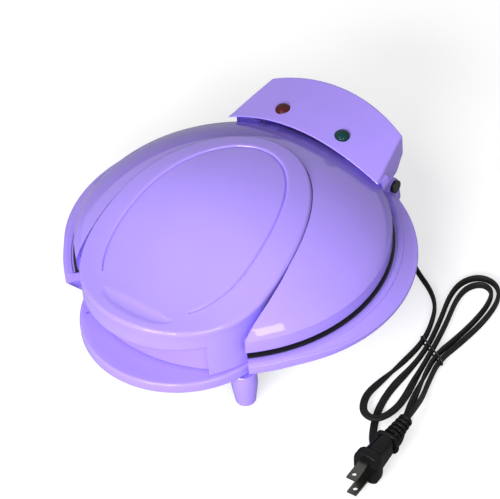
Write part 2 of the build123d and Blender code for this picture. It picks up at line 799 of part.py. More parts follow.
# Hinge housing: the crowned panel behind the grip, hollow and open below
with BuildPart() as housing_block:
    with BuildSketch(level(housing_low_z)):
        add(housing_outline(0))
    extrude(amount=dome_top_z - housing_low_z)
    rear_corners = housing_block.edges().filter_by(Axis.Z).sort_by(Axis.Y)[-2:]
    fillet(rear_corners, housing_corner)
    add(crowned_block(housing_crown), mode=Mode.INTERSECT)

with BuildPart() as housing_hollow:
    with BuildSketch(level(housing_low_z - 1)):
        add(housing_outline(-housing_wall))
    extrude(amount=dome_top_z - housing_low_z)
    add(crowned_block(housing_crown, drop=housing_wall), mode=Mode.INTERSECT)

with BuildPart() as hinge_housing:
    add(housing_block.part)
    fillet(hinge_housing.edges().group_by(Axis.Z)[0].sort_by(Axis.Y)[-3:], housing_corner)
    add(housing_hollow.part, mode=Mode.SUBTRACT)
    add(dome_block(fit_gap, 0), mode=Mode.SUBTRACT)
    for x, y in housing_bosses:
        with Locations((x, dish_y + y, housing_boss_low_z)):
            Cylinder(boss_radius, housing_boss_top_z - housing_boss_low_z, align=low_centre)
            Cylinder(boss_screw_radius + 0.1, 6, align=low_centre, mode=Mode.SUBTRACT)
    for side in (1, -1):
        with Locations((side * lamp_x, dish_y + lamp_y, lens_low_z)):
            Cylinder(lens_radius + 0.2, 20, align=low_centre, mode=Mode.SUBTRACT)
hinge_housing.part.label = "hinge_housing"
export_step(hinge_housing.part, "parts/hinge_housing.step")

# Lamp lenses, lamps and their holder
def lamp_part(name, part):
    """Label one of the lamp's pieces and write it."""
    part.label = name
    export_step(part, f"parts/{name}.step")


with BuildPart() as lens:
    with BuildSketch(Plane.XZ):
        with BuildLine():
            Polyline(
                (lens_radius, lens_edge_z),
                (lens_radius, lens_low_z),
                (lens_radius - lens_wall, lens_low_z),
                (lens_radius - lens_wall, lens_edge_z - lens_wall),
                (0, lens_edge_z - lens_wall),
                (0, lens_top_z),
            )
            ThreePointArc(
                (0, lens_top_z), (lens_radius * 0.66, lens_top_z - 0.8), (lens_radius, lens_edge_z)
            )
        make_face()
    revolve(axis=Axis.Z)

with BuildPart() as lamp:
    with Locations((0, 0, lamp_holder_z + lamp_holder_wall)):
        Cylinder(lamp_radius, lamp_length, align=low_centre)
    fillet(lamp.edges().group_by(Axis.Z)[-1], lamp_radius - 0.3)

for colour, side in (("red", -1), ("green", 1)):
    lamp_place = Pos(side * lamp_x, dish_y + lamp_y, 0)
    lamp_part(f"{colour}_lens", lamp_place * lens.part)
    lamp_part(f"{colour}_lamp", lamp_place * lamp.part)

with BuildPart() as lamp_holder:
    with BuildSketch(level(lamp_holder_z)):
        with Locations((0, lamp_y + 1)):
            SlotOverall(2 * (lamp_x + 5), 8)
    extrude(amount=lamp_holder_wall)
    with Locations((0, dish_y + lamp_y, lamp_holder_z)):
        with GridLocations(2 * holder_post_x, 1, 2, 1):
            Cylinder(2.2, holder_post_top_z - lamp_holder_z, align=low_centre)
    for side in (1, -1):
        with Locations((side * lamp_x, dish_y + lamp_y, lamp_holder_z)):
            Cylinder(lamp_radius + 1.2, 4, align=low_centre)
            Cylinder(lamp_radius + 0.1, 20, mode=Mode.SUBTRACT)
lamp_part("lamp_holder", lamp_holder.part)

# Hinge pins with their heads outside the ears
for name, side in (("hinge_pin_left", -1), ("hinge_pin_right", 1)):
    with BuildPart() as pin:
        with Locations(Plane((side * (lug_inner_x + 1), dish_y + hinge_y, hinge_z), z_dir=(side, 0, 0))):
            Cylinder(pin_radius, ear_outer_x - lug_inner_x, align=low_centre)
        with Locations(Plane((side * ear_outer_x, dish_y + hinge_y, hinge_z), z_dir=(side, 0, 0))):
            Cylinder(pin_head_radius, pin_head_height, align=low_centre)
        outer_rim = pin.edges().filter_by(GeomType.CIRCLE).sort_by(Axis.X, reverse=side > 0)[0]
        fillet(outer_rim, 1.0)
    pin.part.label = name
    export_step(pin.part, f"parts/{name}.step")

# Heat shields on posts behind the plates
for name, shield_z, radius in (
    ("lower_shield", shield_low_z, lower_shield_radius),
    ("upper_shield", shield_high_z, upper_shield_radius),
):
    with BuildPart() as shield:
        with Locations(level(shield_z)):
            Cylinder(radius, shield_wall, align=low_centre)
            with PolarLocations(post_ring, posts, 90):
                Cylinder(screw_hole_radius, shield_wall, align=low_centre, mode=Mode.SUBTRACT)
            for side in (1, -1):
                with Locations((side * element_ring_radius * sin(radians(10)),
                                element_ring_radius * cos(radians(10)), 0)):
                    Cylinder(element_radius + 1, 3, mode=Mode.SUBTRACT)
    shield.part.label = name
    export_step(shield.part, f"parts/{name}.step")

for name, post_low_z, post_high_z in (
    ("lower_posts", shield_low_z + shield_wall + seam_gap / 3, plate_low_z - plate_wall),
    ("upper_posts", plate_high_z + plate_wall, shield_high_z - seam_gap / 3),
):
    with BuildPart() as shield_posts:
        with Locations(level(post_low_z)), PolarLocations(post_ring, posts, 90):
            Cylinder(post_radius, post_high_z - post_low_z, align=low_centre)
            Cylinder(boss_screw_radius + 0.1, post_high_z - post_low_z, align=low_centre, mode=Mode.SUBTRACT)
    shield_posts.part.label = name
    export_step(shield_posts.part, f"parts/{name}.step")

# Screws that hold the shields, the grip and the housing
def pan_screws(places, head_radius, shank_length, upward):
    """Pan-headed screws at places, their shanks upward or downward from under the head."""
    with BuildPart() as screws:
        for place in places:
            with Locations(place):
                if upward:
                    Cylinder(boss_screw_radius, shank_length, align=low_centre)
                    Cylinder(head_radius, screw_head_height, align=high_centre)
                else:
                    Cylinder(boss_screw_radius, shank_length, align=high_centre)
                    Cylinder(head_radius, screw_head_height, align=low_centre)
    return screws.part


post_points = []
for number in range(posts):
    angle = radians(90 + 360 / posts * number)
    post_points.append((post_ring * cos(angle), dish_y + post_ring * sin(angle)))
screw_sets = {
    "lower_shield_screws": pan_screws(
        [(x, y, shield_low_z) for x, y in post_points], screw_head_radius, 6, True
    ),
    "upper_shield_screws": pan_screws(
        [(x, y, shield_high_z + shield_wall) for x, y in post_points], screw_head_radius, 6, False
    ),
    "grip_screws": pan_screws(
        [(x, dish_y + y, grip_boss_low_z) for x, y in grip_bosses], washer_radius, 4.5, True
    ),
    "housing_screws": pan_screws(
        [(x, dish_y + y, housing_screw_z) for x, y in housing_bosses],
        screw_head_radius,
        housing_screw_length,
        True,
    ),
}
for name, screws in screw_sets.items():
    screws.label = name
    export_step(screws, f"parts/{name}.step")

# Controls: thermostat under the middle of the plate, fuse and terminal block below the shield
with BuildPart() as thermostat:
    with Locations(level(thermostat_low_z)):
        Cylinder(thermostat_radius, thermostat_high_z - thermostat_low_z, align=low_centre)
    fillet(thermostat.edges().group_by(Axis.Z)[-1], 0.8)
    with Locations(level(thermostat_high_z)):
        Cylinder(thermostat_neck, plate_low_z - plate_wall - thermostat_high_z, align=low_centre)
thermostat.part.label = "thermostat"
export_step(thermostat.part, "parts/thermostat.step")

with BuildPart() as thermal_fuse:
    with Locations(Plane((0, dish_y - fuse_y, shield_low_z - fuse_radius - 0.1), z_dir=(1, 0, 0))):
        Cylinder(fuse_radius, fuse_length)
        Cylinder(fuse_lead_radius, 2 * fuse_length)
thermal_fuse.part.label = "thermal_fuse"
export_step(thermal_fuse.part, "parts/thermal_fuse.step")

with BuildPart() as terminal_block:
    with Locations(level(bowl_floor_z)):
        with Locations((0, block_y, 0)):
            Box(block_length, block_depth, block_height, align=low_centre)
            with Locations((0, 0, block_height)), GridLocations(block_pitch, 1, 3, 1):
                Cylinder(block_hole_radius, block_hole_depth, align=high_centre, mode=Mode.SUBTRACT)
terminal_block.part.label = "terminal_block"
export_step(terminal_block.part, "parts/terminal_block.step")


# Mains cord: its route over the floor, in millimetres from the dish's axis. It runs from the
# gland to the tie, down and back (1), up and back (2), down and back again and up and back
# again, so that five strands lie side by side in the tie, and then to the plug.
cord_route = (
    (gland_end * gland_direction[0], gland_end * gland_direction[1], gland_z),
    (42.0, 94.3, gland_z),
    (48.5, 102.0, 12.0),
    (58.0, 99.0, 4.4),
    (69.0, 89.0, edge_z),
    (82.5, 78.5, edge_z),
    (96.5, 71.0, edge_z),
    (107.0, 62.0, edge_z),
    (113.4, 50.5, edge_z),
    (*strand_first, strand_z),
    (119.2, 8.0, turn_z),
    (116.4, -13.0, flat_z),
    (117.8, -29.0, over_z),
    (124.0, -40.8, over_z),
    (133.8, -42.0, over_z),
    (138.8, -33.0, over_z),
    (137.4, -17.0, flat_z),
    (132.8, 4.0, turn_z),
    (129.1, 26.0, strand_z),
    (122.8, 50.5, edge_z),
    (115.8, 72.0, edge_z),
    (115.6, 85.0, edge_z),
    (122.0, 92.6, edge_z),
    (130.6, 90.6, edge_z),
    (134.9, 80.0, edge_z),
    (136.2, 63.0, edge_z),
    (135.0, 43.0, edge_z),
    (133.0, 24.1, strand_z),
    (137.2, 4.0, turn_z),
    (142.6, -16.0, flat_z),
    (149.5, -35.0, cord_radius),
    (154.6, -47.0, cord_radius),
    (152.6, -57.0, cord_radius),
    (143.6, -57.6, cord_radius),
    (136.0, -47.0, cord_radius),
    (128.5, -31.0, cord_radius),
    (125.2, -12.0, flat_z),
    (126.2, 8.0, turn_z),
    (125.0, 27.9, strand_z),
    (118.1, 51.0, edge_z),
    (110.4, 73.0, edge_z),
    (110.0, 87.5, edge_z),
    (117.6, 97.4, edge_z),
    (130.0, 97.0, edge_z),
    (138.2, 87.0, edge_z),
    (141.0, 67.0, edge_z),
    (139.5, 43.0, edge_z),
    (*strand_last, strand_z),
    (141.6, 4.0, edge_z),
    (146.6, -10.0, 4.4),
    (150.4, -21.0, 9.6),
    (152.5, -29.5, plug_z),
    (*plug_start, plug_z),
)


def cord_path(points):
    """The cord's line: straight runs joined by arcs as large as the runs allow, with its radii."""
    places = [Vector(x, dish_y + y, z) for x, y, z in points]
    radii = []
    for before, corner, after in zip(places, places[1:], places[2:]):
        turn = (corner - before).get_angle(after - corner)
        shorter = min((corner - before).length, (after - corner).length)
        radii.append(arc_share * shorter / tan(radians(turn / 2)))
    with BuildLine() as path:
        FilletPolyline(*places, radius=radii)
    return path.wire(), radii


def cord_tube(points):
    """The round cord swept along its line, with its length, radii and volume printed."""
    line, radii = cord_path(points)
    with BuildPart() as tube:
        add(line)
        with BuildSketch(Plane(line @ 0, z_dir=line % 0)):
            Circle(cord_radius)
        sweep(path=line)
    filled = tube.part.volume / (pi * cord_radius**2 * line.length)
    print("length", round(line.length), "volume over section times length", round(filled, 4))
    print("radii", [round(radius, 1) for radius in radii])
    return tube.part


def midpoint(number):
    """The middle of the run that follows a point of the route."""
    (x, y, z), (u, v, w) = cord_route[number], cord_route[number + 1]
    return ((x + u) / 2, (y + v) / 2, (z + w) / 2)


hank_start = midpoint(lead_count - 1)
hank_end = midpoint(-tail_count - 1)
hank_route = (hank_start,) + cord_route[lead_count:-tail_count] + (hank_end,)
for name, stretch in (
    ("cord_lead", cord_route[:lead_count] + (hank_start,)),
    ("cord_hank", hank_route),
    ("cord_tail", (hank_end,) + cord_route[-tail_count:]),
):
    print(name)
    tube = cord_tube(stretch)
    tube.label = name
    export_step(tube, f"parts/{name}.step")

# The hank's least gap to itself, between points half a millimetre apart along it
hank_line = cord_path(hank_route)[0]
hank_points = [
    tuple(hank_line.position_at(step / 2, position_mode=PositionMode.LENGTH))
    for step in range(2 * int(hank_line.length))
]
least_gap = min(
    dist(here, there) - 2 * cord_radius
    for number, here in enumerate(hank_points)
    for there in hank_points[number + gap_skip_count:]
)
print("hank: least gap to itself", round(least_gap, 2))

# Gland: the bush in the bowl's wall that grips the cord
with BuildPart() as cord_gland:
    with Locations(gland_plane.offset(gland_start - gland_reach)):
        Cylinder(gland_radius, gland_length, align=low_centre)
    with Locations(gland_plane.offset(gland_start - gland_reach + gland_length - gland_lip_length)):
        Cylinder(gland_lip_radius, gland_lip_length, align=low_centre)
cord_gland.part.label = "cord_gland"
export_step(cord_gland.part, "parts/cord_gland.step")

# Wire tie round the five strands of the hank
(first_x, first_y) = strand_first
(last_x, last_y) = strand_last
tie_middle = ((first_x + last_x) / 2, dish_y + (first_y + last_y) / 2, tie_z)
tie_along = (last_x - first_x, last_y - first_y, 0)
tie_plane = Plane(tie_middle, x_dir=tie_along, z_dir=(-tie_along[1], tie_along[0], 0))
tie_half = Vector(tie_along).length / 2 + tie_spread
tie_bend = cord_radius + tie_clearance + tie_wire_radius
with BuildPart() as cord_tie:
    with BuildLine(tie_plane) as loop:
        Line((-tie_half, tie_bend), (tie_half, tie_bend))
        ThreePointArc((tie_half, tie_bend), (tie_half + tie_bend, 0), (tie_half, -tie_bend))
        Line((tie_half, -tie_bend), (-tie_half, -tie_bend))
        ThreePointArc((-tie_half, -tie_bend), (-tie_half - tie_bend, 0), (-tie_half, tie_bend))
    with BuildSketch(Plane(loop.line @ 0, z_dir=loop.line % 0)):
        Circle(tie_wire_radius)
    sweep()
cord_tie.part.label = "cord_tie"
export_step(cord_tie.part, "parts/cord_tie.step")

# Plug: ribbed strain relief, moulded body with a collar, and two flat blades
lean = radians(plug_lean)
plug_plane = Plane(
    (plug_start[0], dish_y + plug_start[1], plug_z),
    x_dir=(cos(lean), sin(lean), 0),
    z_dir=(sin(lean), -cos(lean), 0),
)
with BuildPart() as plug_relief:
    with Locations(plug_plane):
        Cylinder(relief_core_radius, collar_start, align=low_centre)
    for rib in range(relief_ribs):
        with Locations(plug_plane.offset(rib * relief_pitch)):
            Cylinder(relief_rib_radius + rib * relief_rib_growth, relief_rib_length, align=low_centre)
plug_relief.part.label = "plug_relief"
export_step(plug_relief.part, "parts/plug_relief.step")

with BuildPart() as plug_body:
    with Locations(plug_plane.offset(collar_start)):
        Cylinder(collar_radius, collar_length, align=low_centre)
    for reach, width, height, rounding in plug_sections:
        with BuildSketch(plug_plane.offset(reach)):
            RectangleRounded(width, height, rounding)
    loft()
plug_body.part.label = "plug_body"
export_step(plug_body.part, "parts/plug_body.step")

nose_reach = plug_sections[-1][0]
with BuildPart() as plug_blades:
    for side in (-1, 1):
        with Locations(plug_plane.offset(nose_reach) * Location((0, side * blade_spacing / 2, 0))):
            Box(blade_width, blade_thickness, blade_length, align=low_centre)
    with Locations(plug_plane * Location((0, 0, nose_reach + blade_hole_reach), (90, 0, 0))):
        Cylinder(blade_hole_radius, 2 * blade_spacing, mode=Mode.SUBTRACT)
plug_blades.part.label = "plug_blades"
export_step(plug_blades.part, "parts/plug_blades.step")
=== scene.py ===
import bpy
import bmesh
import numpy as np
from mathutils import Matrix, Vector


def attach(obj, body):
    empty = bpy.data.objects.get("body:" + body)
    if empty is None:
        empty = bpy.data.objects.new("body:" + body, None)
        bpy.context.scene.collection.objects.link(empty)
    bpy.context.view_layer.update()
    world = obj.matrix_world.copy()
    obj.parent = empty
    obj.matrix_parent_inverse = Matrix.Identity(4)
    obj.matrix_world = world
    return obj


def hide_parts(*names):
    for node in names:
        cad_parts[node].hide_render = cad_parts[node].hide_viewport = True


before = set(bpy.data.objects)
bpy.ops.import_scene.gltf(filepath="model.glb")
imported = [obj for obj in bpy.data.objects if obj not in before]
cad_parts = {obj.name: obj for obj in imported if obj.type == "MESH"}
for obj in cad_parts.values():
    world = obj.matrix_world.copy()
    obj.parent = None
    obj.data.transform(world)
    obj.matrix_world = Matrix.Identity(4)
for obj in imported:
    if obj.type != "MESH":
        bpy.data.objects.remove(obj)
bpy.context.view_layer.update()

# Base shell. One moulding in glossy purple plastic: a bowl, a flange with a raised ring
# round the plates, a wide lobe on each side, and a flat tongue at the front. It is open in
# front where the lid's tower comes down, and two plain ears behind carry the hinge.
MM = 0.001
DISH_Y = -1.25
PURPLE = (0.398, 0.284, 0.94)


class Link:
    """An output in a material's node tree. A sum or a product with it adds a Math node."""

    def __init__(self, tree, socket):
        self.tree = tree
        self.socket = socket

    def put(self, kind, settings, inputs, output=0):
        """Adds a node: its settings first, a ramp's stops among them, then its inputs."""
        node = self.tree.nodes.new(kind)
        for name, value in settings.items():
            if name == "stops":
                ramp = node.color_ramp.elements
                while len(ramp) < len(value):
                    ramp.new(0.5)
                for stop, (place, colour) in zip(ramp, value):
                    stop.position = place
                    stop.color = (*colour, 1.0)
            else:
                setattr(node, name, value)
        for name, value in inputs.items():
            if isinstance(value, Link):
                self.tree.links.new(value.socket, node.inputs[name])
            else:
                node.inputs[name].default_value = value
        return Link(self.tree, node.outputs[output])

    def math(self, operation, other):
        """A Math node on this output and on a link or a number."""
        return self.put("ShaderNodeMath", {"operation": operation}, {0: self, 1: other})

    def __add__(self, other):
        return self.math("ADD", other)

    __radd__ = __add__

    def __mul__(self, other):
        return self.math("MULTIPLY", other)

    def tint(self, low, high):
        """The colour low where this is 0, and high where it is 1."""
        stops = [(0.0, low), (1.0, high)]
        return self.put("ShaderNodeValToRGB", {"stops": stops}, {"Fac": self})

    def noise(self, scale, detail=3.0):
        """A soft random value over the surface, for a link that holds coordinates."""
        inputs = {"Vector": self, "Scale": scale, "Detail": detail}
        return self.put("ShaderNodeTexNoise", {"noise_dimensions": "3D"}, inputs)

    def bump(self, distance, strength):
        """A normal that takes this output as the height of a fine relief."""
        inputs = {"Height": self, "Distance": distance, "Strength": strength}
        return self.put("ShaderNodeBump", {}, inputs)


def new_finish(name, settings):
    """An empty material, its coordinates, and its shader with the plain settings made."""
    material = bpy.data.materials.new(name)
    material.use_nodes = True
    tree = material.node_tree
    shader = tree.nodes["Principled BSDF"]
    for socket, value in settings.items():
        shader.inputs[socket].default_value = value
    start = Link(tree, None)
    return material, start.put("ShaderNodeTexCoord", {}, {}, "Object"), shader


def feed(shader, **links):
    """Joins links to the shader's sockets, named with _ for a space."""
    for name, link in links.items():
        link.tree.links.new(link.socket, shader.inputs[name.replace("_", " ")])


def moulded_plastic(name, colour, gloss, grain):
    """Moulded plastic: a clear gloss over a faintly cloudy colour, with soft sink ripples."""
    settings = {"Coat Roughness": gloss * 0.13, "IOR": 1.5, "Specular IOR Level": 0.02}
    material, place, shader = new_finish(name, settings)
    cloud = place.noise(38.0, 4.0)
    fine = place.noise(900.0, 2.0)
    ripple = place.noise(16.0, 1.0)
    deep = tuple(channel * 0.955 for channel in colour)
    pale = tuple(min(1.0, channel * 1.045) for channel in colour)
    relief = ripple * 0.7 + fine * 0.02
    bump = relief.bump(grain, 0.5)
    feed(
        shader,
        Base_Color=cloud.tint(deep, pale),
        Roughness=gloss + cloud * 0.05 + fine * 0.03,
        Coat_Weight=0.56 + cloud * 0.08,
        Normal=bump,
    )
    return material


def skin(name, grid, wrap=True, crease=32.0, flip=False):
    """A surface on a grid of points in millimetres: each point joins the next in its row and
    the one below it, wrap closes the rows, doubles are merged, and edges over crease stay sharp."""
    rows, columns = grid.shape[:2]
    index = np.arange(rows * columns).reshape(rows, columns)
    if wrap:
        index = np.hstack([index, index[:, :1]])
    corners = [index[:-1, :-1], index[1:, :-1], index[1:, 1:], index[:-1, 1:]]
    quads = np.stack(corners[::-1] if flip else corners, axis=-1).reshape(-1, 4)
    mesh = bpy.data.meshes.new(name)
    mesh.from_pydata((grid.reshape(-1, 3) * MM).tolist(), [], quads.tolist())
    joined = bmesh.new()
    joined.from_mesh(mesh)
    bmesh.ops.remove_doubles(joined, verts=joined.verts, dist=0.00001)
    joined.to_mesh(mesh)
    joined.free()
    mesh.shade_smooth()
    mesh.set_sharp_from_angle(angle=np.radians(crease))
    piece = bpy.data.objects.new(name, mesh)
    bpy.context.scene.collection.objects.link(piece)
    return piece


def dress(piece, body, material):
    """Gives a piece its material and the body it rides on."""
    piece.data.materials.append(material)
    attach(piece, body)
    return piece


def keep(node, material):
    """Gives a node that stays as it is its material."""
    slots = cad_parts[node].data.materials
    slots.clear()
    slots.append(material)


def bend(centre, radius, start, end, count=6):
    """Points of an arc in a profile, from one angle to another in degrees."""
    turn = np.radians(np.linspace(start, end, count))
    return [(centre[0] + radius * c, centre[1] + radius * s) for c, s in zip(np.cos(turn), np.sin(turn))]


def around(turn, reach, height):
    """Points about the dish's axis: reach times the direction of each angle, at a height."""
    return np.stack([reach * np.cos(turn), DISH_Y + reach * np.sin(turn), height + 0 * turn], axis=-1)


purple = moulded_plastic("purple_moulding", PURPLE, 0.16, 0.0009)

NOTCH = np.radians(41.5)
front_turn = np.linspace(-NOTCH, NOTCH, 150)
rear_turn = np.linspace(NOTCH, 2 * np.pi - NOTCH, 460)
turn = np.concatenate([front_turn, rear_turn]) - np.pi / 2
way_x, way_y = np.cos(turn), np.sin(turn)


def circle_reach(centre_x, centre_y, radius):
    """How far each ray from the dish's axis runs to the far side of a circle."""
    along = way_x * centre_x + way_y * centre_y
    return along + np.sqrt(np.maximum(radius**2 - centre_x**2 - centre_y**2 + along**2, 0))


# The flange's rim is the furthest of three circles, their meeting points smoothed. The core is
# the wall that the lid's tower comes down to, and the tip is the rim of the tongue.
RIM_CIRCLES = ((0, 0, 106.0), (17, 6, 96.0), (-17, 6, 96.0))
RIM_BLEND = 2.2
rim = np.logaddexp.reduce([RIM_BLEND * circle_reach(*circle) for circle in RIM_CIRCLES]) / RIM_BLEND
core = np.minimum(93.5, circle_reach(0, -49, 56.0))
tip = circle_reach(0, -54, 63.0)
BEAD_R, BEAD_Z = 104.5, 46.85
RIM_ROUND, TIP_ROUND, TONGUE_Z = 1.2, 1.8, 34.2
slope_z = 46.8 - (rim - RIM_ROUND - BEAD_R) * 4.8 / 9.5
in_front = np.arange(turn.size) < front_turn.size


def base_ring(rear_r, rear_z, front_r, front_z):
    """A ring round the dish's axis, with one reach and height behind and another in front."""
    return around(turn, np.where(in_front, front_r, rear_r), np.where(in_front, front_z, rear_z))


flange_profile = [
    (96.0, 46.9), (100.6, 46.9), (100.7, 47.0), (100.7, 47.3), (101.0, 47.6), (102.5, 47.6),
    (104.2, 47.6), (104.45, 47.5), (104.5, 47.25), (BEAD_R, BEAD_Z),
]
front_top = [
    (core - 0.4, 46.9), (core - 0.1, 46.8), (core, 46.5), (core, 44.0), (core, 40.0), (core, 36.0),
    (core + 0.1, 35.0), (core + 0.7, 34.3),
]
rows = [base_ring(r, z, core - 4, 46.9) for r, z in flange_profile[:2]]
rows += [base_ring(*rear, *front) for rear, front in zip(flange_profile[2:], front_top)]
for share in (0.25, 0.5, 0.75, 1.0):
    flat_r = core + 1.5 + (tip - TIP_ROUND - core - 1.5) * share
    slope_r = BEAD_R + (rim - RIM_ROUND - BEAD_R) * share
    rows.append(base_ring(slope_r, BEAD_Z + (slope_z - BEAD_Z) * share, flat_r, TONGUE_Z))
for angle in np.radians([15, 30, 45, 60, 75, 90]):
    out, down = np.sin(angle), 1 - np.cos(angle)
    front_r, front_z = tip - TIP_ROUND + TIP_ROUND * out, TONGUE_Z - TIP_ROUND * down
    rows.append(base_ring(rim - RIM_ROUND + RIM_ROUND * out, slope_z - down, front_r, front_z))
# Below the rim: the reach and height behind, then the reach and height in front
bowl_below = [
    (rim, 40.8, tip, 27.9), (rim - 0.15, 40.25, tip - 0.15, 27.3), (rim - 0.8, 40.0, tip - 0.8, 27.0),
    (99.0, 40.0, np.minimum(tip - 1.0, 92.0), 27.0), (98.0, 40.0, np.minimum(tip - 1.2, 91.0), 27.0),
    (95.0, 34.4, 88.0, 23.4), (91.0, 27.0, 85.0, 20.0), (84.0, 19.0, 82.0, 17.0),
    (79.0, 13.2, 79.0, 13.2), (78.0, 12.3, 78.0, 12.3), (77.0, 12.0, 77.0, 12.0), (66.0, 12.0, 66.0, 12.0),
    (66.0, 14.5, 66.0, 14.5),
]
rows += [base_ring(*station) for station in bowl_below]
base_grid = np.array(rows)

# Behind, the flange is lower where the lid's skirt swings, and slotted for the lid's lugs
RELIEF_Z, SLOT_FRONT = 44.2, 91.5
x, y, z = base_grid[..., 0], base_grid[..., 1] - DISH_Y, base_grid[..., 2]
low = (np.abs(x) < 35.0) & (y > 100.9)
base_grid[..., 2] = np.where(low, np.minimum(z, RELIEF_Z), z)
slotted = (np.abs(x) > 34.7) & (np.abs(x) < 43.3) & (y > SLOT_FRONT) & (z > 39.0)
base_grid[..., 1] = np.where(slotted, SLOT_FRONT + DISH_Y, base_grid[..., 1])

base_shell = skin("base_shell_moulding", base_grid, crease=30.0)
dress(base_shell, "base", purple)
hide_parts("base_shell")


def hull_outline(circles, corners=(), count=14):
    """The outline round some circles and corner points: every point of the circles that
    nothing else passes outside, in order round the middle."""
    sweep = np.linspace(0, 2 * np.pi, 4 * count, endpoint=False)
    points = [(u + r * np.cos(a), v + r * np.sin(a)) for u, v, r in circles for a in sweep]
    points = sorted(points + list(corners))
    chains = []
    for ordered in (points, points[::-1]):
        chain = []
        for p in ordered:
            while len(chain) > 1:
                (a, b), (c, d) = chain[-2:]
                if (c - a) * (p[1] - b) - (d - b) * (p[0] - a) > 0:
                    break
                chain.pop()
            chain.append(p)
        chains.append(chain[:-1])
    return np.array(chains[0] + chains[1])


def slab(name, outline, low_x, high_x, edge=0.5):
    """A plate across the body: a profile of (way back, height), carried from low_x to high_x,
    with its edges eased by pulling the first and last outlines in."""
    middle = (outline.min(axis=0) + outline.max(axis=0)) / 2
    size = (outline.max(axis=0) - outline.min(axis=0)) / 2
    face, shoulder = 1 - 1.0 * edge / size.min(), 1 - 0.3 * edge / size.min()
    steps = [
        (low_x, 0.0), (low_x, face), (low_x + 0.3 * edge, shoulder), (low_x + edge, 1.0),
        (high_x - edge, 1.0), (high_x - 0.3 * edge, shoulder), (high_x, face), (high_x, 0.0),
    ]
    rows = []
    for x, share in steps:
        ring = middle + (outline - middle) * share
        rows.append(np.stack([np.full(len(ring), x), DISH_Y + ring[:, 0], ring[:, 1]], axis=-1))
    return skin(name, np.array(rows), crease=35.0)


# The hinge's eye: its way back from the dish's axis, its height, and the radius round the pin
HINGE_EYE = (98.0, 46.5, 5.0)
ear_outline = hull_outline([HINGE_EYE, (102.5, 33.0, 2.5)], [(77.0, 29.0), (77.0, 40.0)])
for side, low_x in (("left", -52.0), ("right", 43.0)):
    ear = slab(f"hinge_ear_{side}", ear_outline, low_x, low_x + 9.0)
    dress(ear, "base", purple)

# Bottom cover and its screws. The cover is a flat black plate of moulded plastic with slots
# for air; four plated screws hold it up against the bowl.
dark = moulded_plastic("dark_moulding", (0.014, 0.014, 0.016), 0.42, 0.0004)


def plated_metal(name, colour, gloss, scale):
    """Plated sheet: a metal with faint streaks of polishing and a patchy gloss."""
    material, place, shader = new_finish(name, {"IOR": 1.45})
    streaks = place.put("ShaderNodeMapping", {}, {"Vector": place, "Scale": (scale, scale * 0.06, scale)})
    marks = streaks.noise(14.0, 5.0)
    patch = place.noise(55.0, 3.0)
    deep = tuple(channel * 0.82 for channel in colour)
    bump = marks.bump(0.00006, 0.4)
    feed(
        shader,
        Base_Color=(marks * 0.6 + patch * 0.4).tint(deep, colour),
        Metallic=0.94 + patch * 0.05,
        Roughness=gloss + marks * 0.12 + patch * 0.08,
        Normal=bump,
    )
    return material


steel = plated_metal("zinc_plated_steel", (0.56, 0.57, 0.59), 0.26, 30.0)
keep("bottom_cover", dark)
keep("bottom_cover_screws", steel)

# Feet. Four tapered legs of the same purple plastic, rounded where they meet the table and
# closed against the bowl and the flange above.
FOOT_X, FOOT_Y, FOOT_R = 56.5, 67.8, 8.2
foot_profile = [(0.0, 0.0), (2.5, 0.0), (4.2, 0.0)] + bend((4.4, 2.0), 2.0, -90, -6, 7)
foot_profile += [(6.9, 6.0), (7.5, 10.0), (7.9, 13.2), (8.15, 15.4), (FOOT_R, 17.0), (FOOT_R, 21.0)]


def turned(profile, centre, count=56):
    """A profile of (reach, height) turned round an upright axis through centre."""
    sweep = np.linspace(0, 2 * np.pi, count, endpoint=False)
    rings = []
    for r, z in profile:
        ring_x, ring_y = centre[0] + r * np.cos(sweep), centre[1] + r * np.sin(sweep)
        rings.append(np.stack([ring_x, ring_y, np.full(count, z)], axis=-1))
    return np.array(rings)


# No foot rises above the bowl's outside, given here by its height at each reach
BOWL_REACH, BOWL_Z = (77.0, 79.0, 84.0, 91.0, 95.0, 98.0), (12.0, 13.2, 19.0, 27.0, 34.4, 40.0)
for end, leg_y, top_z in (("front", -FOOT_Y, 26.7), ("rear", FOOT_Y, 39.7)):
    for side, leg_x in (("left", -FOOT_X), ("right", FOOT_X)):
        profile = foot_profile + [(FOOT_R, top_z - 0.4), (7.9, top_z), (0.0, top_z)]
        leg = turned(profile, (leg_x, leg_y + DISH_Y))
        under = np.interp(np.hypot(leg[..., 0], leg[..., 1] - DISH_Y), BOWL_REACH, BOWL_Z) + 0.5
        leg[..., 2] = np.minimum(leg[..., 2], under)
        foot = skin(f"foot_{end}_{side}_leg", leg)
        dress(foot, "base", purple)
        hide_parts(f"foot_{end}_{side}")

# Heating parts. Behind each plate are a sheathed ring with two pins and a bright shield on
# posts with screws. Below, in the base, are a thermostat, a fuse and a block for the wires.
sheath = plated_metal("heated_sheath", (0.24, 0.225, 0.215), 0.38, 22.0)
ceramic = moulded_plastic("glazed_ceramic", (0.74, 0.71, 0.64), 0.5, 0.0002)
for level in ("lower", "upper"):
    keep(f"{level}_element", sheath)
    for part in ("shield", "posts", "shield_screws"):
        keep(f"{level}_{part}", steel)
for node in ("thermostat", "thermal_fuse", "terminal_block"):
    keep(node, ceramic)

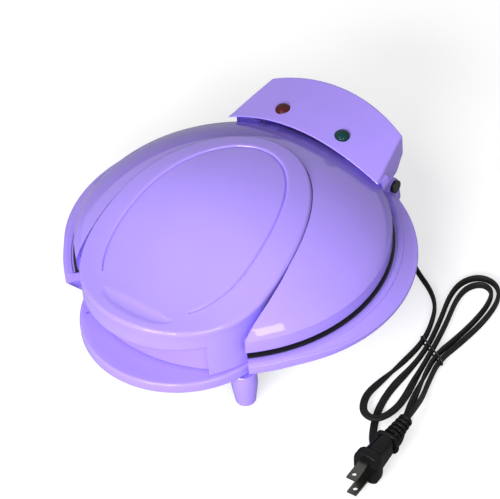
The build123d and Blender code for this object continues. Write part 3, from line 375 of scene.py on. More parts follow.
# Cooking plates. Cast plates with a dark non-stick coat: twelve half-round cups each, with
# a flat rim that closes on the other plate's rim. The coat is faintly speckled.
coating, place, shader = new_finish("non_stick_coat", {"Specular IOR Level": 0.2, "Coat Roughness": 0.2})
speckle = place.noise(1400.0, 2.0)
wear = place.noise(60.0, 4.0)
feed(
    shader,
    Base_Color=(speckle * 0.7 + wear * 0.3).tint((0.005, 0.005, 0.006), (0.02, 0.019, 0.022)),
    Roughness=0.34 + wear * 0.16,
    Coat_Weight=0.06 + wear * 0.06,
    Normal=speckle.bump(0.00005, 0.5),
)
keep("lower_plate", coating)
keep("upper_plate", coating)

# Lid. A shallow dome on a straight skirt, in the same glossy plastic. Its front is cut away
# with straight sides for the tower of the grip, and two lugs behind reach down to the hinge.
CUT_HALF = 65.4
LID_R, BALL_R, BALL_Z = 98.0, 144.8, -45.2
ROLL_REACH, ROLL_R, ROLL_MIDDLE, ROLL_Z = 91.0, 30.0, 72.15, 44.1
CUP_RINGS = ((66.0, 9, 10.0), (25.5, 3, 30.0))
CUP_R, CUPS_Z = 20.8, 48.9


def dome_z(reach):
    """The dome's height at a reach: a ball, and from ROLL_REACH out a roll, which ends at the
    skirt in a crisp edge."""
    ball = BALL_Z + np.sqrt(BALL_R**2 - np.minimum(reach, ROLL_REACH) ** 2)
    roll = ROLL_Z + np.sqrt(ROLL_R**2 - (np.clip(reach, ROLL_REACH, LID_R) - ROLL_MIDDLE) ** 2)
    return np.where(reach > ROLL_REACH, roll, ball)


def over_cups(x, y):
    """The tops of the upper plate's cups: each a ball round a point of an outer or inner ring."""
    height = np.full(np.shape(x), CUPS_Z)
    for ring, count, start in CUP_RINGS:
        for place in np.radians(start + np.arange(count) * 360.0 / count):
            apart = (x - ring * np.cos(place)) ** 2 + (y - ring * np.sin(place)) ** 2
            height = np.maximum(height, CUPS_Z + np.sqrt(np.maximum(CUP_R**2 - apart, 0)))
    return height


def ease(value, low, high):
    """0 below low, 1 above high, and a smooth S between them."""
    share = np.clip((value - low) / (high - low), 0, 1)
    return share * share * (3 - 2 * share)


# The grip's oval: a round front and a long back, at the height where its wall starts to lean
# out. Its points are closer where the recess begins, at each side of the lip.
GRIP_Y, GRIP_R, GRIP_BACK = -49.0, 63.3, 98.0
OVAL_Z, LEAN = 74.0, 0.1
RECESS_HALF, LIP_R = 47.0, 61.6
oval_turn = np.linspace(0, 2 * np.pi, 720, endpoint=False)
edge_turn = np.arccos(RECESS_HALF / LIP_R)
corner_turns = np.array([-edge_turn, edge_turn - np.pi]) % (2 * np.pi)
oval_turn = np.sort(np.concatenate([oval_turn, corner_turns - 1e-5, corner_turns + 1e-5]))
c, s = np.cos(oval_turn), np.sin(oval_turn)
half_length = np.where(s > 0, GRIP_BACK, GRIP_R)
foot_x, foot_y = GRIP_R * c, GRIP_Y + half_length * s
normal_x, normal_y = c / GRIP_R, s / half_length
size = np.hypot(normal_x, normal_y)
normal_x, normal_y = normal_x / size, normal_y / size


def grip_line(height, grow=0.0):
    """The grip's oval at a height, leaning out as it rises over OVAL_Z, then grown by grow."""
    out = LEAN * (height - OVAL_Z) + grow
    return foot_x + out * normal_x, foot_y + out * normal_y


first, close = np.arcsin((CUT_HALF - 1.0) / LID_R), 0.12
lid_turn = np.concatenate([
    np.linspace(first, first + close, 30, endpoint=False),
    np.linspace(first + close, 2 * np.pi - first - close, 420),
    np.linspace(2 * np.pi - first - close, 2 * np.pi - first, 31)[1:],
])
across, back = np.sin(lid_turn), -np.cos(lid_turn)
cut = CUT_HALF / np.maximum(np.abs(across), 0.3)
for step in range(8):
    drawn = np.clip((back * cut + 61.0) / 30.0, 0, 1)
    narrow = np.clip((-50.0 - back * cut) / 23.0, 0, 1)
    cut = (CUT_HALF - 1.3 * drawn**2.2 - 1.0 * narrow) / np.maximum(np.abs(across), 0.3)
# Behind the straight sides the cut is the grip's own oval, grown by a thin gap
oval_x, oval_y = grip_line(85.0)
for step in range(3):
    oval_x, oval_y = grip_line(dome_z(np.hypot(oval_x, oval_y)), 0.4)
oval_angle = np.arctan2(oval_x, -oval_y) % (2 * np.pi)
order = np.argsort(oval_angle)
oval_reach = np.interp(lid_turn, oval_angle[order], np.hypot(oval_x, oval_y)[order])
on_oval = ease(back * cut, -38.0, -24.0)
cut = np.minimum(cut * (1 - on_oval) + oval_reach * on_oval, LID_R)
aside = lid_turn - np.pi / 2
rows = []
gutter = np.clip((-54.0 - back * cut) / 2.0, 0, 1)
gutter_low = np.maximum(cut - 11.0 * gutter, 0)
for reach in (gutter_low, (gutter_low + cut) / 2, cut):
    floor_z = np.maximum(51.2, over_cups(reach * across, reach * back) + 1.0)
    floor_z = np.minimum(floor_z, dome_z(cut) - 0.35)
    rows.append(around(aside, reach, floor_z * gutter + (1 - gutter) * (dome_z(cut) - 2.5)))
rows.append(around(aside, cut, dome_z(cut) - 0.35))
spread = np.sin(np.linspace(0, np.pi / 2, 46))
for share in spread:
    reach = cut + (LID_R - cut) * share
    rows.append(around(aside, reach, dome_z(reach)))
for height in (57.0, 55.0, 53.0, 51.0, 50.4):
    rows.append(around(aside, np.full(lid_turn.size, LID_R), height))
for inset, height in ((0.12, 50.12), (0.4, 50.0), (2.1, 50.0), (2.4, 50.12), (2.5, 50.4), (2.5, 59.0)):
    rows.append(around(aside, np.full(lid_turn.size, LID_R - inset), height))
INNER_R = LID_R - 2.6
for share in spread[::-5]:
    reach = np.minimum(cut + (LID_R - cut) * share, INNER_R)
    rows.append(around(aside, np.maximum(reach, np.minimum(cut, INNER_R)), dome_z(reach) - 2.9))
lid_dome = skin("lid_dome", np.array(rows), wrap=False, crease=26.0)
dress(lid_dome, "lid", purple)
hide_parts("lid_shell")
for side, low_x in (("left", -42.7), ("right", 35.0)):
    outline = hull_outline([HINGE_EYE], [(91.2, 51.5), (91.2, 62.0), (97.0, 62.0)])
    lug = slab(f"lid_lug_{side}", outline, low_x, low_x + 7.7)
    dress(lug, "lid", purple)
    # The hinge pins are drawn dark, in the same finish as the black moulding.
    keep(f"hinge_pin_{side}", dark)

# Grip. A long oval of the same plastic, raised over the dome, whose front hangs out as a lip
# over a finger recess. Two pillars and the recess wall reach down to the tongue. The top is
# crowned. An inner field lies a little lower inside a thin ridge, and a scoop takes a thumb.
FIELD_Y = -44.0
SCOOP_X, SCOOP_HALF, SCOOP_Y, SCOOP_LONG, SCOOP_DEEP = 2.0, 26.0, -94.8, 13.2, 1.0
field_x, field_y = 45.7 * c, FIELD_Y + np.where(s > 0, 81.0, 59.0) * s
LEVELS = np.array([(60, 89.8), (40, 95.9), (20, 99.7), (0, 101.4), (-16, 100.2), (-32, 97.6),
                   (-48, 92.3), (-64, 86.0), (-86, 79.2), (-100, 76.4), (-118, 73.2)])
FALLS = np.array([4.0, 3.9, 3.5, 3.6, 3.6, 3.7, 3.5, 3.0, 2.7, 2.6, 2.6]) / 1000
crown_line = np.polyfit(LEVELS[:, 0] / 100, LEVELS[:, 1], 7)
fall_line = np.polyfit(LEVELS[:, 0] / 100, FALLS, 5)


def crown_z(x, y):
    """The grip's crown: a line of heights along the middle, less a fall with the square of x."""
    return np.polyval(crown_line, y / 100) - np.polyval(fall_line, y / 100) * x**2


def scoop(x, y):
    """The thumb's scoop: a shallow hollow in front of a straight crisp edge, rising again to
    a curved edge along the lip."""
    wide = np.sqrt(np.maximum(1 - ((x - SCOOP_X) / SCOOP_HALF) ** 2, 0))
    share = np.clip((SCOOP_Y - y) / np.maximum(SCOOP_LONG * wide, 0.01), 0, 1)
    depth = SCOOP_DEEP * wide * np.sin(np.pi * share**0.85)
    return depth * ease(share, 0.0, 0.15) * ease(-share, -1.0, -0.55)


def field_drop(y):
    """How far the inner field lies under the crown, fading out towards the front."""
    return 0.8 * (1 - ease(-y, 40.0, 88.0))


def lay(x, y, drop):
    """Points on the crown at x, y, lowered by drop and by the scoop."""
    return np.stack([x, y + DISH_Y, crown_z(x, y) - drop - scoop(x, y)], axis=-1)


EDGE = 2.0
out_x, out_y = foot_x, foot_y
for step in range(3):
    out_x, out_y = grip_line(crown_z(out_x, out_y) - EDGE)
rows = []
for share in np.linspace(0, 1, 40)[:-1]:
    inner_x, inner_y = field_x * share * 0.97, FIELD_Y + (field_y - FIELD_Y) * share * 0.97
    rows.append(lay(inner_x, inner_y, field_drop(inner_y)))
ridge = 1 - ease(-field_y, 84.6, 85.8)
ridge_steps = [(-1.3, 1.0, 0.0), (-0.7, 1.0, 0.04), (-0.4, 1.0, 0.35), (-0.15, 1.0, 0.85), (0.1, 1.0, 0.9),
               (0.3, 0.95, 0.35), (0.7, 0.65, -0.05), (1.4, 0.3, -0.14), (2.2, 0.06, -0.08), (3.0, 0.0, 0.0)]
for step, held, local in ridge_steps:
    drop = field_drop(field_y) * held + local * ridge
    rows.append(lay(field_x + step * normal_x, field_y + step * normal_y, drop))
ring_x, ring_y = field_x + 3.0 * normal_x, field_y + 3.0 * normal_y
top_x, top_y = out_x - EDGE * normal_x, out_y - EDGE * normal_y
for share in np.linspace(0, 1, 24)[1:]:
    rows.append(lay(ring_x + (top_x - ring_x) * share, ring_y + (top_y - ring_y) * share, 0.0))
for angle in np.radians([15, 30, 45, 60, 75, 90]):
    out, down = EDGE * np.sin(angle) - EDGE, EDGE * (1 - np.cos(angle))
    rows.append(lay(out_x + out * normal_x, out_y + out * normal_y, down))
brim_z = rows[-1][:, 2]
reach_out = np.hypot(out_x, out_y)
sector = (np.abs(np.arctan2(out_x, -out_y)) < np.radians(41.9)) & (s < 0)
opening = (np.abs(c) < RECESS_HALF / LIP_R) & (s < 0)
# The wall ends inside the dome behind, over the gutter in the middle, and in front as a pillar
PILLAR_Z = 35.1
foot_z = np.where(out_y > -33.0, dome_z(reach_out) - 9.0, np.where(out_y > -56.0, 60.0, 51.6))
foot_z = np.maximum(foot_z, over_cups(foot_x - 1.5 * normal_x, foot_y - 1.5 * normal_y) + 1.0)
foot_z = np.where(sector, PILLAR_Z, foot_z)
foot_z = np.minimum(foot_z, brim_z - 0.3)


def wall_point(height, inset=0.0):
    """Points on the leaning wall at a height, pulled in by inset. Below 66 it stands upright."""
    lean = LEAN * (OVAL_Z - np.maximum(height, 66.0)) + inset
    return np.stack([foot_x - lean * normal_x, foot_y + DISH_Y - lean * normal_y, height], axis=-1)


LIP_Z, LIP_ROUND, RECESS_R = 57.0, 2.6, 96.6
lip_z = np.where(opening, LIP_Z, foot_z + (brim_z - foot_z) * 0.45)
lip_z = np.where(sector & ~opening, LIP_Z, lip_z)
round_z = np.minimum(lip_z + LIP_ROUND, brim_z)
for share in np.linspace(0, 1, 8)[1:]:
    rows.append(wall_point(brim_z + (round_z - brim_z) * share))
for angle in np.radians([18, 36, 54, 72, 90]):
    curl = np.where(opening, LIP_ROUND, 0.0)
    curled_z = LIP_Z + LIP_ROUND * (1 - np.sin(angle))
    straight_z = round_z - LIP_ROUND * angle / np.pi * 2
    height = np.maximum(np.where(opening, curled_z, straight_z), foot_z)
    rows.append(wall_point(height, curl * (1 - np.cos(angle))))
lip_end = rows[-1]
back_y = -np.sqrt(np.maximum(RECESS_R**2 - np.minimum(np.abs(lip_end[:, 0]), RECESS_HALF) ** 2, 1)) + DISH_Y
down_steps = np.linspace(0, 1, 14)[1:]
# The recess under the lip: the share of the way in to its wall, and the height
recess_path = [
    (0.3, 57.0), (0.6, 57.0), (0.85, 57.0), (0.96, 56.7), (1.0, 56.0), (1.0, 52.0), (1.0, 47.0),
    (1.0, 42.0), (1.0, 38.0), (1.0, 36.5), (1.0, 35.4), (1.06, PILLAR_Z), (1.2, PILLAR_Z),
]
for share, (inward, height) in zip(down_steps, recess_path):
    lowered = lip_end[:, 2] + (foot_z - lip_end[:, 2]) * min(share * 1.3, 1.0)
    wall = wall_point(np.maximum(lowered, foot_z), np.full(oval_turn.size, max(0.0, share - 0.8) * 8.0))
    hollow_y = lip_end[:, 1] + (back_y - lip_end[:, 1]) * inward
    hollow = np.stack([lip_end[:, 0], hollow_y, np.full(oval_turn.size, height)], axis=-1)
    rows.append(np.where(opening[:, None], hollow, wall))
grip = skin("lid_grip_moulding", np.array(rows), crease=36.0, flip=True)
dress(grip, "lid", purple)
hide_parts("lid_grip")

# Hinge housing. A separate purple moulding behind the dome, with a bowed back and raked
# sides; its lamps sit in its top, and two screws hold it to the lid.
FRONT_HALF, FRONT_Y, CORNER_HALF, CORNER_Y = 57.7, 73.0, 50.2, 110.85
BACK_R, BACK_MIDDLE = 150.0, -30.5
front_x = np.linspace(-FRONT_HALF, FRONT_HALF, 110, endpoint=False)
front_line = np.stack([front_x, np.full(front_x.size, FRONT_Y)], axis=-1)
side_share = np.linspace(0, 1, 60, endpoint=False)
right_x = FRONT_HALF + (CORNER_HALF - FRONT_HALF) * side_share
right_line = np.stack([right_x, FRONT_Y + (CORNER_Y - FRONT_Y) * side_share], axis=-1)
arc_x = np.linspace(CORNER_HALF, -CORNER_HALF, 120, endpoint=False)
back_line = np.stack([arc_x, BACK_MIDDLE + np.sqrt(BACK_R**2 - arc_x**2)], axis=-1)
left_line = right_line[::-1] * (-1, 1)
shell_line = np.concatenate([front_line, right_line, back_line, left_line])


def inset_line(line, amount):
    """A closed line pulled in by an amount, each point square to the chord between the points
    three before it and three after it, so that the line turns its corners smoothly."""
    before, after = np.roll(line, 3, axis=0), np.roll(line, -3, axis=0)
    along = after - before
    normal = np.stack([-along[:, 1], along[:, 0]], axis=-1)
    normal /= np.maximum(np.linalg.norm(normal, axis=1, keepdims=True), 1e-9)
    return line + normal * np.reshape(amount, (-1, 1))


def housing_z(x, y):
    """The housing's top: heights that rise towards the back, less a fall with x squared."""
    places = [60, 73, 96, 125]
    height = np.interp(y, places, [85.9, 86.3, 87.0, 87.6])
    return height - np.interp(y, places, [0.0053, 0.0048, 0.0040, 0.0030]) * x**2


def set_at(line, height):
    """A line drawn from above, about the dish's axis, with each point set at its height."""
    return np.stack([line[:, 0], line[:, 1] + DISH_Y, height], axis=-1)


MIDDLE_Y, LOW_Z, BACK_ROUND, WALL_DROP = 94.0, 56.5, 8.5, 1.8
centre = np.array([0.0, MIDDLE_Y])
rows = []
lip_round = 1.2 - 0.7 * (1 - ease(shell_line[:, 1], 73.0, 76.0))
top_line = inset_line(shell_line, lip_round)
for share in np.linspace(0.0, 1, 22):
    line = centre + (top_line - centre) * share
    rows.append(set_at(line, housing_z(line[:, 0], line[:, 1])))
for angle in np.radians([18, 36, 54, 72, 90]):
    line = inset_line(shell_line, lip_round * (1 - np.sin(angle)))
    rows.append(set_at(line, housing_z(line[:, 0], line[:, 1]) - lip_round * (1 - np.cos(angle))))
brim = rows[-1]
in_back = ease(shell_line[:, 1], 100.0, 112.0)
# The wall reaches down into the dome, and behind the dome to the height of its skirt
shell_reach = np.hypot(shell_line[:, 0], shell_line[:, 1])
in_dome = np.maximum(LOW_Z, dome_z(np.minimum(shell_reach, LID_R)) - 1.0)
start_z = np.where(shell_reach > 97.5, LOW_Z, in_dome) + BACK_ROUND * in_back
# In front the wall stands back under the top, which ends in a thin lip over the dome
set_back = 11.0 * (1 - ease(shell_line[:, 1], 73.0, 80.0))
for back_share, fall in ((0.0, 0.2), (0.12, 0.6), (0.5, 1.0), (1.0, WALL_DROP)):
    rows.append(np.stack([brim[:, 0], brim[:, 1] + set_back * back_share, brim[:, 2] - fall], axis=-1))
for share in np.linspace(0, 1, 10)[1:]:
    height = brim[:, 2] - WALL_DROP + (start_z - brim[:, 2] + WALL_DROP) * share
    rows.append(np.stack([brim[:, 0], brim[:, 1] + set_back, height], axis=-1))
for angle in np.radians([15, 30, 45, 60, 75, 90]):
    line = inset_line(shell_line, BACK_ROUND * (1 - np.cos(angle)) * in_back) + set_back[:, None] * (0, 1)
    rows.append(set_at(line, start_z - BACK_ROUND * np.sin(angle) * in_back))
low_line = rows[-1]
for share in (0.94, 0.8, 0.0):
    ring_y = (low_line[:, 1] - MIDDLE_Y) * share + MIDDLE_Y
    rows.append(np.stack([low_line[:, 0] * share, ring_y, low_line[:, 2]], axis=-1))
housing = skin("hinge_housing_moulding", np.array(rows), crease=34.0, flip=True)
dress(housing, "lid", purple)
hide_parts("hinge_housing")

# Lamps. Two small lenses of clear plastic, dark red on the left and dark green on the right,
# each over a neon lamp in a holder under the housing's top.
LAMP_X, LAMP_Y = 22.6, 85.0
lens_profile = [
    (0.0, 87.2), (1.0, 87.12), (2.0, 86.9), (3.0, 86.5), (3.9, 85.95), (4.6, 85.2), (4.95, 84.6),
    (5.0, 84.0), (5.0, 80.5), (4.8, 80.2), (0.0, 80.2),
]


def lens_plastic(name, deep, bright):
    """Tinted clear plastic seen over a dark hollow: a mottled deep colour under a hard gloss."""
    settings = {"IOR": 1.49, "Coat Roughness": 0.0, "Specular IOR Level": 0.0}
    material, place, shader = new_finish(name, settings)
    facets = place.noise(420.0, 1.0)
    feed(
        shader,
        Base_Color=facets.tint(deep, bright),
        Roughness=0.06 + facets * 0.06,
        Coat_Weight=0.32 + facets * 0.05,
        Normal=facets.bump(0.00012, 0.35),
    )
    return material


for colour, lens_x, deep, bright in (
    ("red", -LAMP_X, (0.055, 0.003, 0.004), (0.08, 0.006, 0.008)),
    ("green", LAMP_X, (0.0, 0.03, 0.028), (0.001, 0.042, 0.038)),
):
    cap = turned(lens_profile, (lens_x, LAMP_Y + DISH_Y), count=64)
    lens = skin(f"{colour}_lens_cap", cap, flip=True)
    dress(lens, "lid", lens_plastic(f"{colour}_lens_plastic", deep, bright))
    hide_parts(f"{colour}_lens")
neon, place, shader = new_finish("neon_lamp_glass", {"IOR": 1.5})
haze = place.noise(500.0)
feed(shader, Base_Color=haze.tint((0.7, 0.6, 0.5), (0.9, 0.85, 0.8)), Roughness=0.1 + haze * 0.1)
keep("red_lamp", neon)
keep("green_lamp", neon)
keep("lamp_holder", dark)
for node in ("grip_screws", "housing_screws"):
    keep(node, steel)

# Mains cord. A flat black twin flex, two cores side by side under a soft rubbery cover. It
# leaves the bowl through a bush, lies in a bundle held by a wire tie, and ends in the plug.
# It stands on its edge in the bundle and turns flat in the two lower loops.
route = np.array([
    (37.83, 84.96, 21.0), (42.0, 94.3, 21.0), (48.5, 102.0, 12.0), (58.0, 99.0, 4.4),
    (69.0, 89.0, 2.9), (82.5, 78.5, 2.9), (96.5, 71.0, 2.9), (107.0, 62.0, 2.9),
    (113.4, 50.5, 2.9), (120.4, 30.15, 4.0), (119.2, 8.0, 2.6), (116.4, -13.0, 1.9),
    (117.8, -29.0, 5.4), (124.0, -40.8, 5.4), (133.8, -42.0, 5.4), (138.8, -33.0, 5.4),
    (137.4, -17.0, 1.9), (132.8, 4.0, 2.6), (129.1, 26.0, 4.0), (122.8, 50.5, 2.9),
    (115.8, 72.0, 2.9), (115.6, 85.0, 2.9), (122.0, 92.6, 2.9), (130.6, 90.6, 2.9),
    (134.9, 80.0, 2.9), (136.2, 63.0, 2.9), (135.0, 43.0, 2.9), (133.0, 24.1, 4.0),
    (137.2, 4.0, 2.6), (142.6, -16.0, 1.9), (149.5, -35.0, 1.6), (154.6, -47.0, 1.6),
    (152.6, -57.0, 1.6), (143.6, -57.6, 1.6), (136.0, -47.0, 1.6), (128.5, -31.0, 1.6),
    (125.2, -12.0, 1.9), (126.2, 8.0, 2.6), (125.0, 27.9, 4.0), (118.1, 51.0, 2.9),
    (110.4, 73.0, 2.9), (110.0, 87.5, 2.9), (117.6, 97.4, 2.9), (130.0, 97.0, 2.9),
    (138.2, 87.0, 2.9), (141.0, 67.0, 2.9), (139.5, 43.0, 2.9), (137.2, 22.05, 4.0),
    (141.6, 4.0, 2.9), (146.6, -10.0, 4.4), (150.4, -21.0, 9.6), (152.5, -29.5, 12.0),
    (152.9, -36.0, 12.0),
]) + (0.0, DISH_Y, 0.0)
line = bpy.data.curves.new("cord_line", "CURVE")
line.dimensions = "3D"
line.resolution_u = 12
spline = line.splines.new("NURBS")
spline.points.add(len(route) - 1)
spline.points.foreach_set("co", np.hstack([route * MM, np.ones((len(route), 1))]).ravel())
spline.order_u = 3
spline.use_endpoint_u = True
line_object = bpy.data.objects.new("cord_line", line)
bpy.context.scene.collection.objects.link(line_object)
bpy.context.view_layer.update()
line_mesh = bpy.data.meshes.new_from_object(line_object)
path = np.zeros(len(line_mesh.vertices) * 3)
line_mesh.vertices.foreach_get("co", path)
path = path.reshape(-1, 3) / MM
bpy.data.objects.remove(line_object)
bpy.data.meshes.remove(line_mesh)

UP = np.array([0.0, 0.0, 1.0])


def carry(path, section, lean):
    """A section of (across, up) points carried along a path: lean turns its wide side from
    level, at 0, to upright, at a quarter turn. Each end closes on the path."""
    along = np.gradient(path, axis=0)
    along /= np.linalg.norm(along, axis=1, keepdims=True)
    level = np.cross(UP, along)
    level /= np.maximum(np.linalg.norm(level, axis=1, keepdims=True), 1e-9)
    upright = np.cross(along, level)
    wide = level * np.cos(lean)[:, None] + upright * np.sin(lean)[:, None]
    thin = upright * np.cos(lean)[:, None] - level * np.sin(lean)[:, None]
    body = path[:, None] + section[None, :, :1] * wide[:, None] + section[None, :, 1:] * thin[:, None]
    ends = np.repeat(path[[0, -1], None], len(section), axis=1)
    return np.concatenate([ends[:1], body, ends[1:]])


lobe = np.radians(np.linspace(-128, 128, 15))
right_lobe = np.stack([1.15 + 1.25 * np.cos(lobe), 1.25 * np.sin(lobe)], axis=-1)
groove = np.array([(0.0, 0.82)])
flex = np.concatenate([right_lobe, groove, -right_lobe, -groove])
run = np.concatenate([[0], np.cumsum(np.linalg.norm(np.diff(path, axis=0), axis=1))])
on_edge = ease(path[:, 1], -22.0, 12.0)
on_edge = np.maximum(on_edge, ease(run, run[-1] - 75.0, run[-1] - 60.0))


def rubbery(name, deep, bright, gloss, coat):
    """Soft black plastic: a dusty mottle, a fine grain and a faint or a hard gloss."""
    material, place, shader = new_finish(name, {"Specular IOR Level": gloss, "Coat Roughness": 0.12})
    dust = place.noise(260.0, 4.0)
    grain = place.noise(1800.0, 2.0)
    feed(
        shader,
        Base_Color=(dust * 0.7 + grain * 0.3).tint(deep, bright),
        Roughness=0.36 + dust * 0.14,
        Coat_Weight=coat + dust * 0.04,
        Normal=grain.bump(0.00006, 0.4),
    )
    return material


cover = rubbery("rubbery_cover", (0.008, 0.008, 0.0075), (0.019, 0.019, 0.018), 0.06, 0.02)
cord = skin("mains_cord", carry(path, flex, on_edge * np.pi / 2), crease=50.0)
dress(cord, "base", cover)
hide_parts("cord_lead", "cord_hank", "cord_tail")
keep("cord_gland", dark)

# Wire tie. A thin plastic-covered wire closed in a flat loop round the five strands.
TIE_BEND, TIE_WIRE_R, TIE_SPREAD = 2.65, 0.64, 0.75
first_strand, last_strand = np.array([120.4, 30.15, 3.75]), np.array([137.2, 22.05, 3.75])
tie_mid = (first_strand + last_strand) / 2 + (0.0, DISH_Y, 0.0)
tie_way = last_strand - first_strand
tie_half = np.linalg.norm(tie_way) / 2 + TIE_SPREAD
tie_way /= np.linalg.norm(tie_way)
quarter = np.linspace(-np.pi / 2, np.pi / 2, 13)
flat_u = np.concatenate([tie_half + TIE_BEND * np.cos(quarter), -tie_half - TIE_BEND * np.cos(quarter)])
flat_v = np.concatenate([TIE_BEND * np.sin(quarter), -TIE_BEND * np.sin(quarter)])
loop = tie_mid + flat_u[:, None] * tie_way + flat_v[:, None] * UP
ring = np.linspace(0, 2 * np.pi, 12, endpoint=False)
outward = np.stack([flat_u - np.sign(flat_u) * tie_half, flat_v], axis=-1)
outward /= np.linalg.norm(outward, axis=1, keepdims=True)
outward = outward[:, :1] * tie_way + outward[:, 1:] * UP
aside_way = np.cross(tie_way, UP)
ring_out, ring_aside = np.cos(ring)[None, :, None], np.sin(ring)[None, :, None]
wire = loop[:, None] + TIE_WIRE_R * (ring_out * outward[:, None] + ring_aside * aside_way)
tie = skin("cord_tie_wire", np.concatenate([wire, wire[:1]]), crease=60.0)
dress(tie, "base", dark)
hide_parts("cord_tie")

# Plug. A moulded two-pin plug: a ribbed relief grips the cord, an oval collar stops the
# fingers, and the block in front of it holds two flat plated blades, each with a hole.
PLUG_LEAN, RELIEF_LONG, RIB_STEP = np.radians(3.5), 20.0, 3.7
plug_right = np.array([np.cos(PLUG_LEAN), np.sin(PLUG_LEAN), 0.0])
plug_ahead = np.array([np.sin(PLUG_LEAN), -np.cos(PLUG_LEAN), 0.0])
plug_foot = route[-1]
plug_turn = np.linspace(0, 2 * np.pi, 64, endpoint=False)
plug_black = rubbery("plug_black", (0.003, 0.003, 0.003), (0.008, 0.008, 0.0078), 0.0, 0.22)


def along_plug(stations, power):
    """Rings along the plug's axis: each station has its reach, width and height, and a ring is
    an oval squared off by power, where 2 is a true oval."""
    rings = []
    for reach, width, height in stations:
        c, s = np.cos(plug_turn), np.sin(plug_turn)
        u = width / 2 * np.sign(c) * np.abs(c) ** (2 / power)
        v = height / 2 * np.sign(s) * np.abs(s) ** (2 / power)
        middle = plug_foot + reach * plug_ahead
        rings.append(middle + u[:, None] * plug_right + v[:, None] * UP)
    return np.array(rings)


stations = [(0.0, 0.0, 0.0), (0.0, 7.6, 7.6)]
for rib in range(5):
    start, wide = rib * RIB_STEP, 9.0 + 0.6 * rib
    stations += [
        (start + 0.15, wide - 0.6, wide - 0.6), (start + 0.6, wide, wide), (start + 1.9, wide, wide),
        (start + 2.35, wide - 0.6, wide - 0.6), (start + 2.5, 7.3, 7.3), (start + 3.68, 7.3, 7.3),
    ]
stations += [(RELIEF_LONG, 7.2, 7.2), (RELIEF_LONG, 0, 0)]
relief = skin("plug_cord_relief", along_plug(stations, 2.0), crease=50.0)
dress(relief, "base", plug_black)
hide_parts("plug_relief")
body_stations = [
    (RELIEF_LONG, 0, 0), (RELIEF_LONG, 14.0, 14.2), (20.3, 14.9, 15.0), (21.2, 15.2, 15.2),
    (22.2, 14.8, 15.0), (22.55, 13.8, 14.4), (22.7, 11.2, 13.8), (24.5, 11.4, 14.6),
    (28.0, 11.6, 15.6), (32.0, 11.9, 16.8), (35.5, 12.2, 17.6), (37.3, 12.8, 18.4),
    (38.4, 14.2, 20.4), (39.4, 15.9, 22.2), (40.4, 16.8, 23.1), (41.4, 17.0, 23.3),
    (45.2, 17.0, 23.3), (45.7, 16.7, 23.0), (46.0, 16.0, 22.4), (46.0, 0, 0),
]
plug = skin("plug_body_block", along_plug(body_stations, 3.4), crease=40.0)
dress(plug, "base", plug_black)
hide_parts("plug_body")
# Painted shade: the blades' plated nickel is drawn nearly black, the shade that the blades lie in painted
# into its colour.
nickel = plated_metal("shade_darkened_nickel", (0.09, 0.088, 0.08), 0.2, 26.0)
keep("plug_blades", nickel)

# Studio. A pale floor under soft lamps, a large one to the left of the camera, and a white
# room. The camera stands where the photograph was taken from.
floor_mesh = bpy.data.meshes.new("studio_floor")
floor_mesh.from_pydata([(-6, -6, 0), (6, -6, 0), (6, 6, 0), (-6, 6, 0)], [], [(0, 1, 2, 3)])
studio_floor = bpy.data.objects.new("studio_floor", floor_mesh)
bpy.context.scene.collection.objects.link(studio_floor)
paper, place, shader = new_finish("studio_paper", {"Roughness": 0.9, "Specular IOR Level": 0.1})
eye_rays = Link(place.tree, place.tree.nodes.new("ShaderNodeLightPath").outputs["Is Camera Ray"])
feed(
    shader,
    Base_Color=place.noise(3.0).tint((0.56, 0.56, 0.56), (0.58, 0.58, 0.58)),
    Emission_Color=eye_rays.tint((0.0, 0.0, 0.0), (0.6, 0.6, 0.6)),
)
shader.inputs["Emission Strength"].default_value = 1.0
floor_mesh.materials.append(paper)

world = bpy.data.worlds.new("studio_room")
world.use_nodes = True
tree = world.node_tree
tree.nodes.clear()
start = Link(tree, None)
rays = tree.nodes.new("ShaderNodeLightPath")
seen = Link(tree, rays.outputs["Is Camera Ray"]) + Link(tree, rays.outputs["Is Glossy Ray"])
seen = seen + Link(tree, rays.outputs["Is Transmission Ray"])
seen.socket.node.use_clamp = True
room = start.put("ShaderNodeBackground", {}, {"Color": (0.96, 0.97, 1.0, 1.0), "Strength": 0.2})
white = start.put("ShaderNodeBackground", {}, {"Color": (1.0, 1.0, 1.0, 1.0), "Strength": 1.0})
mixed = start.put("ShaderNodeMixShader", {}, {0: seen, 1: room, 2: white})
output = tree.nodes.new("ShaderNodeOutputWorld")
tree.links.new(mixed.socket, output.inputs["Surface"])
bpy.context.scene.world = world


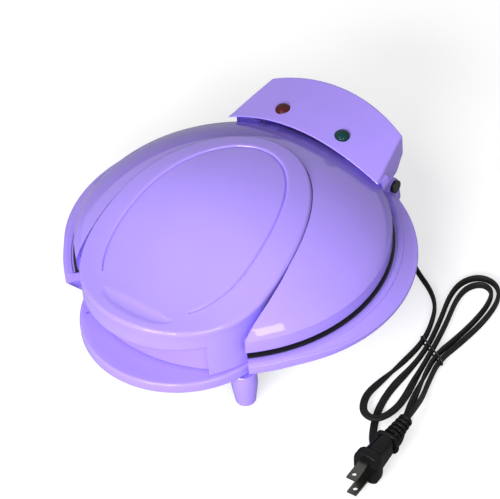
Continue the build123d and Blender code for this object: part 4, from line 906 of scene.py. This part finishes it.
def softbox(name, azimuth, rise, width, height, energy):
    """A lamp with a flat white face, 1.7 m from the object: azimuth counts in degrees from
    the front towards the right, and rise from the floor."""
    lamp = bpy.data.lights.new(name, "AREA")
    lamp.shape = "RECTANGLE"
    lamp.size, lamp.size_y = width, height
    lamp.energy = energy
    holder = bpy.data.objects.new(name, lamp)
    bpy.context.scene.collection.objects.link(holder)
    around_z, above = np.radians(azimuth), np.radians(rise)
    way = Vector((np.sin(around_z) * np.cos(above), -np.cos(around_z) * np.cos(above), np.sin(above)))
    holder.location = way * 1.7 + Vector((0.0, -0.03, 0.05))
    holder.rotation_euler = way.to_track_quat("Z", "Y").to_euler()


softbox("front_softbox", 15.0, 28.0, 1.0, 0.36, 28.0)
softbox("high_softbox", 0.0, 55.0, 0.8, 0.8, 5.5)
softbox("left_softbox", -30.0, 55.0, 0.8, 0.8, 3.0)
softbox("side_softbox", 60.0, 34.0, 0.5, 0.5, 7.5)

# The camera's turn, rise and roll, its distance, and its lens by the photograph's width
turn_a, rise, roll = np.radians(39.73), np.radians(43.69), np.radians(-4.35)
AWAY, SENSOR, FOCAL_PIXELS, PHOTO_PIXELS = 1.9056, 36.0, 3101.82, 500
toward = np.array([np.sin(turn_a) * np.cos(rise), -np.cos(turn_a) * np.cos(rise), np.sin(rise)])
right = np.array([np.cos(turn_a), np.sin(turn_a), 0.0])
up = np.cross(toward, right)
right, up = right * np.cos(roll) + up * np.sin(roll), up * np.cos(roll) - right * np.sin(roll)
aim = np.array([13.08, -2.10, 50.0]) * MM
place_at = aim + toward * AWAY
view = bpy.data.cameras.new("photo_camera")
view.sensor_width = SENSOR
view.lens = FOCAL_PIXELS / PHOTO_PIXELS * SENSOR
camera = bpy.data.objects.new("photo_camera", view)
bpy.context.scene.collection.objects.link(camera)
camera.matrix_world = Matrix([
    (right[0], up[0], toward[0], place_at[0]),
    (right[1], up[1], toward[1], place_at[1]),
    (right[2], up[2], toward[2], place_at[2]),
    (0, 0, 0, 1),
])
bpy.context.scene.camera = camera
bpy.context.scene.view_settings.view_transform = "Standard"
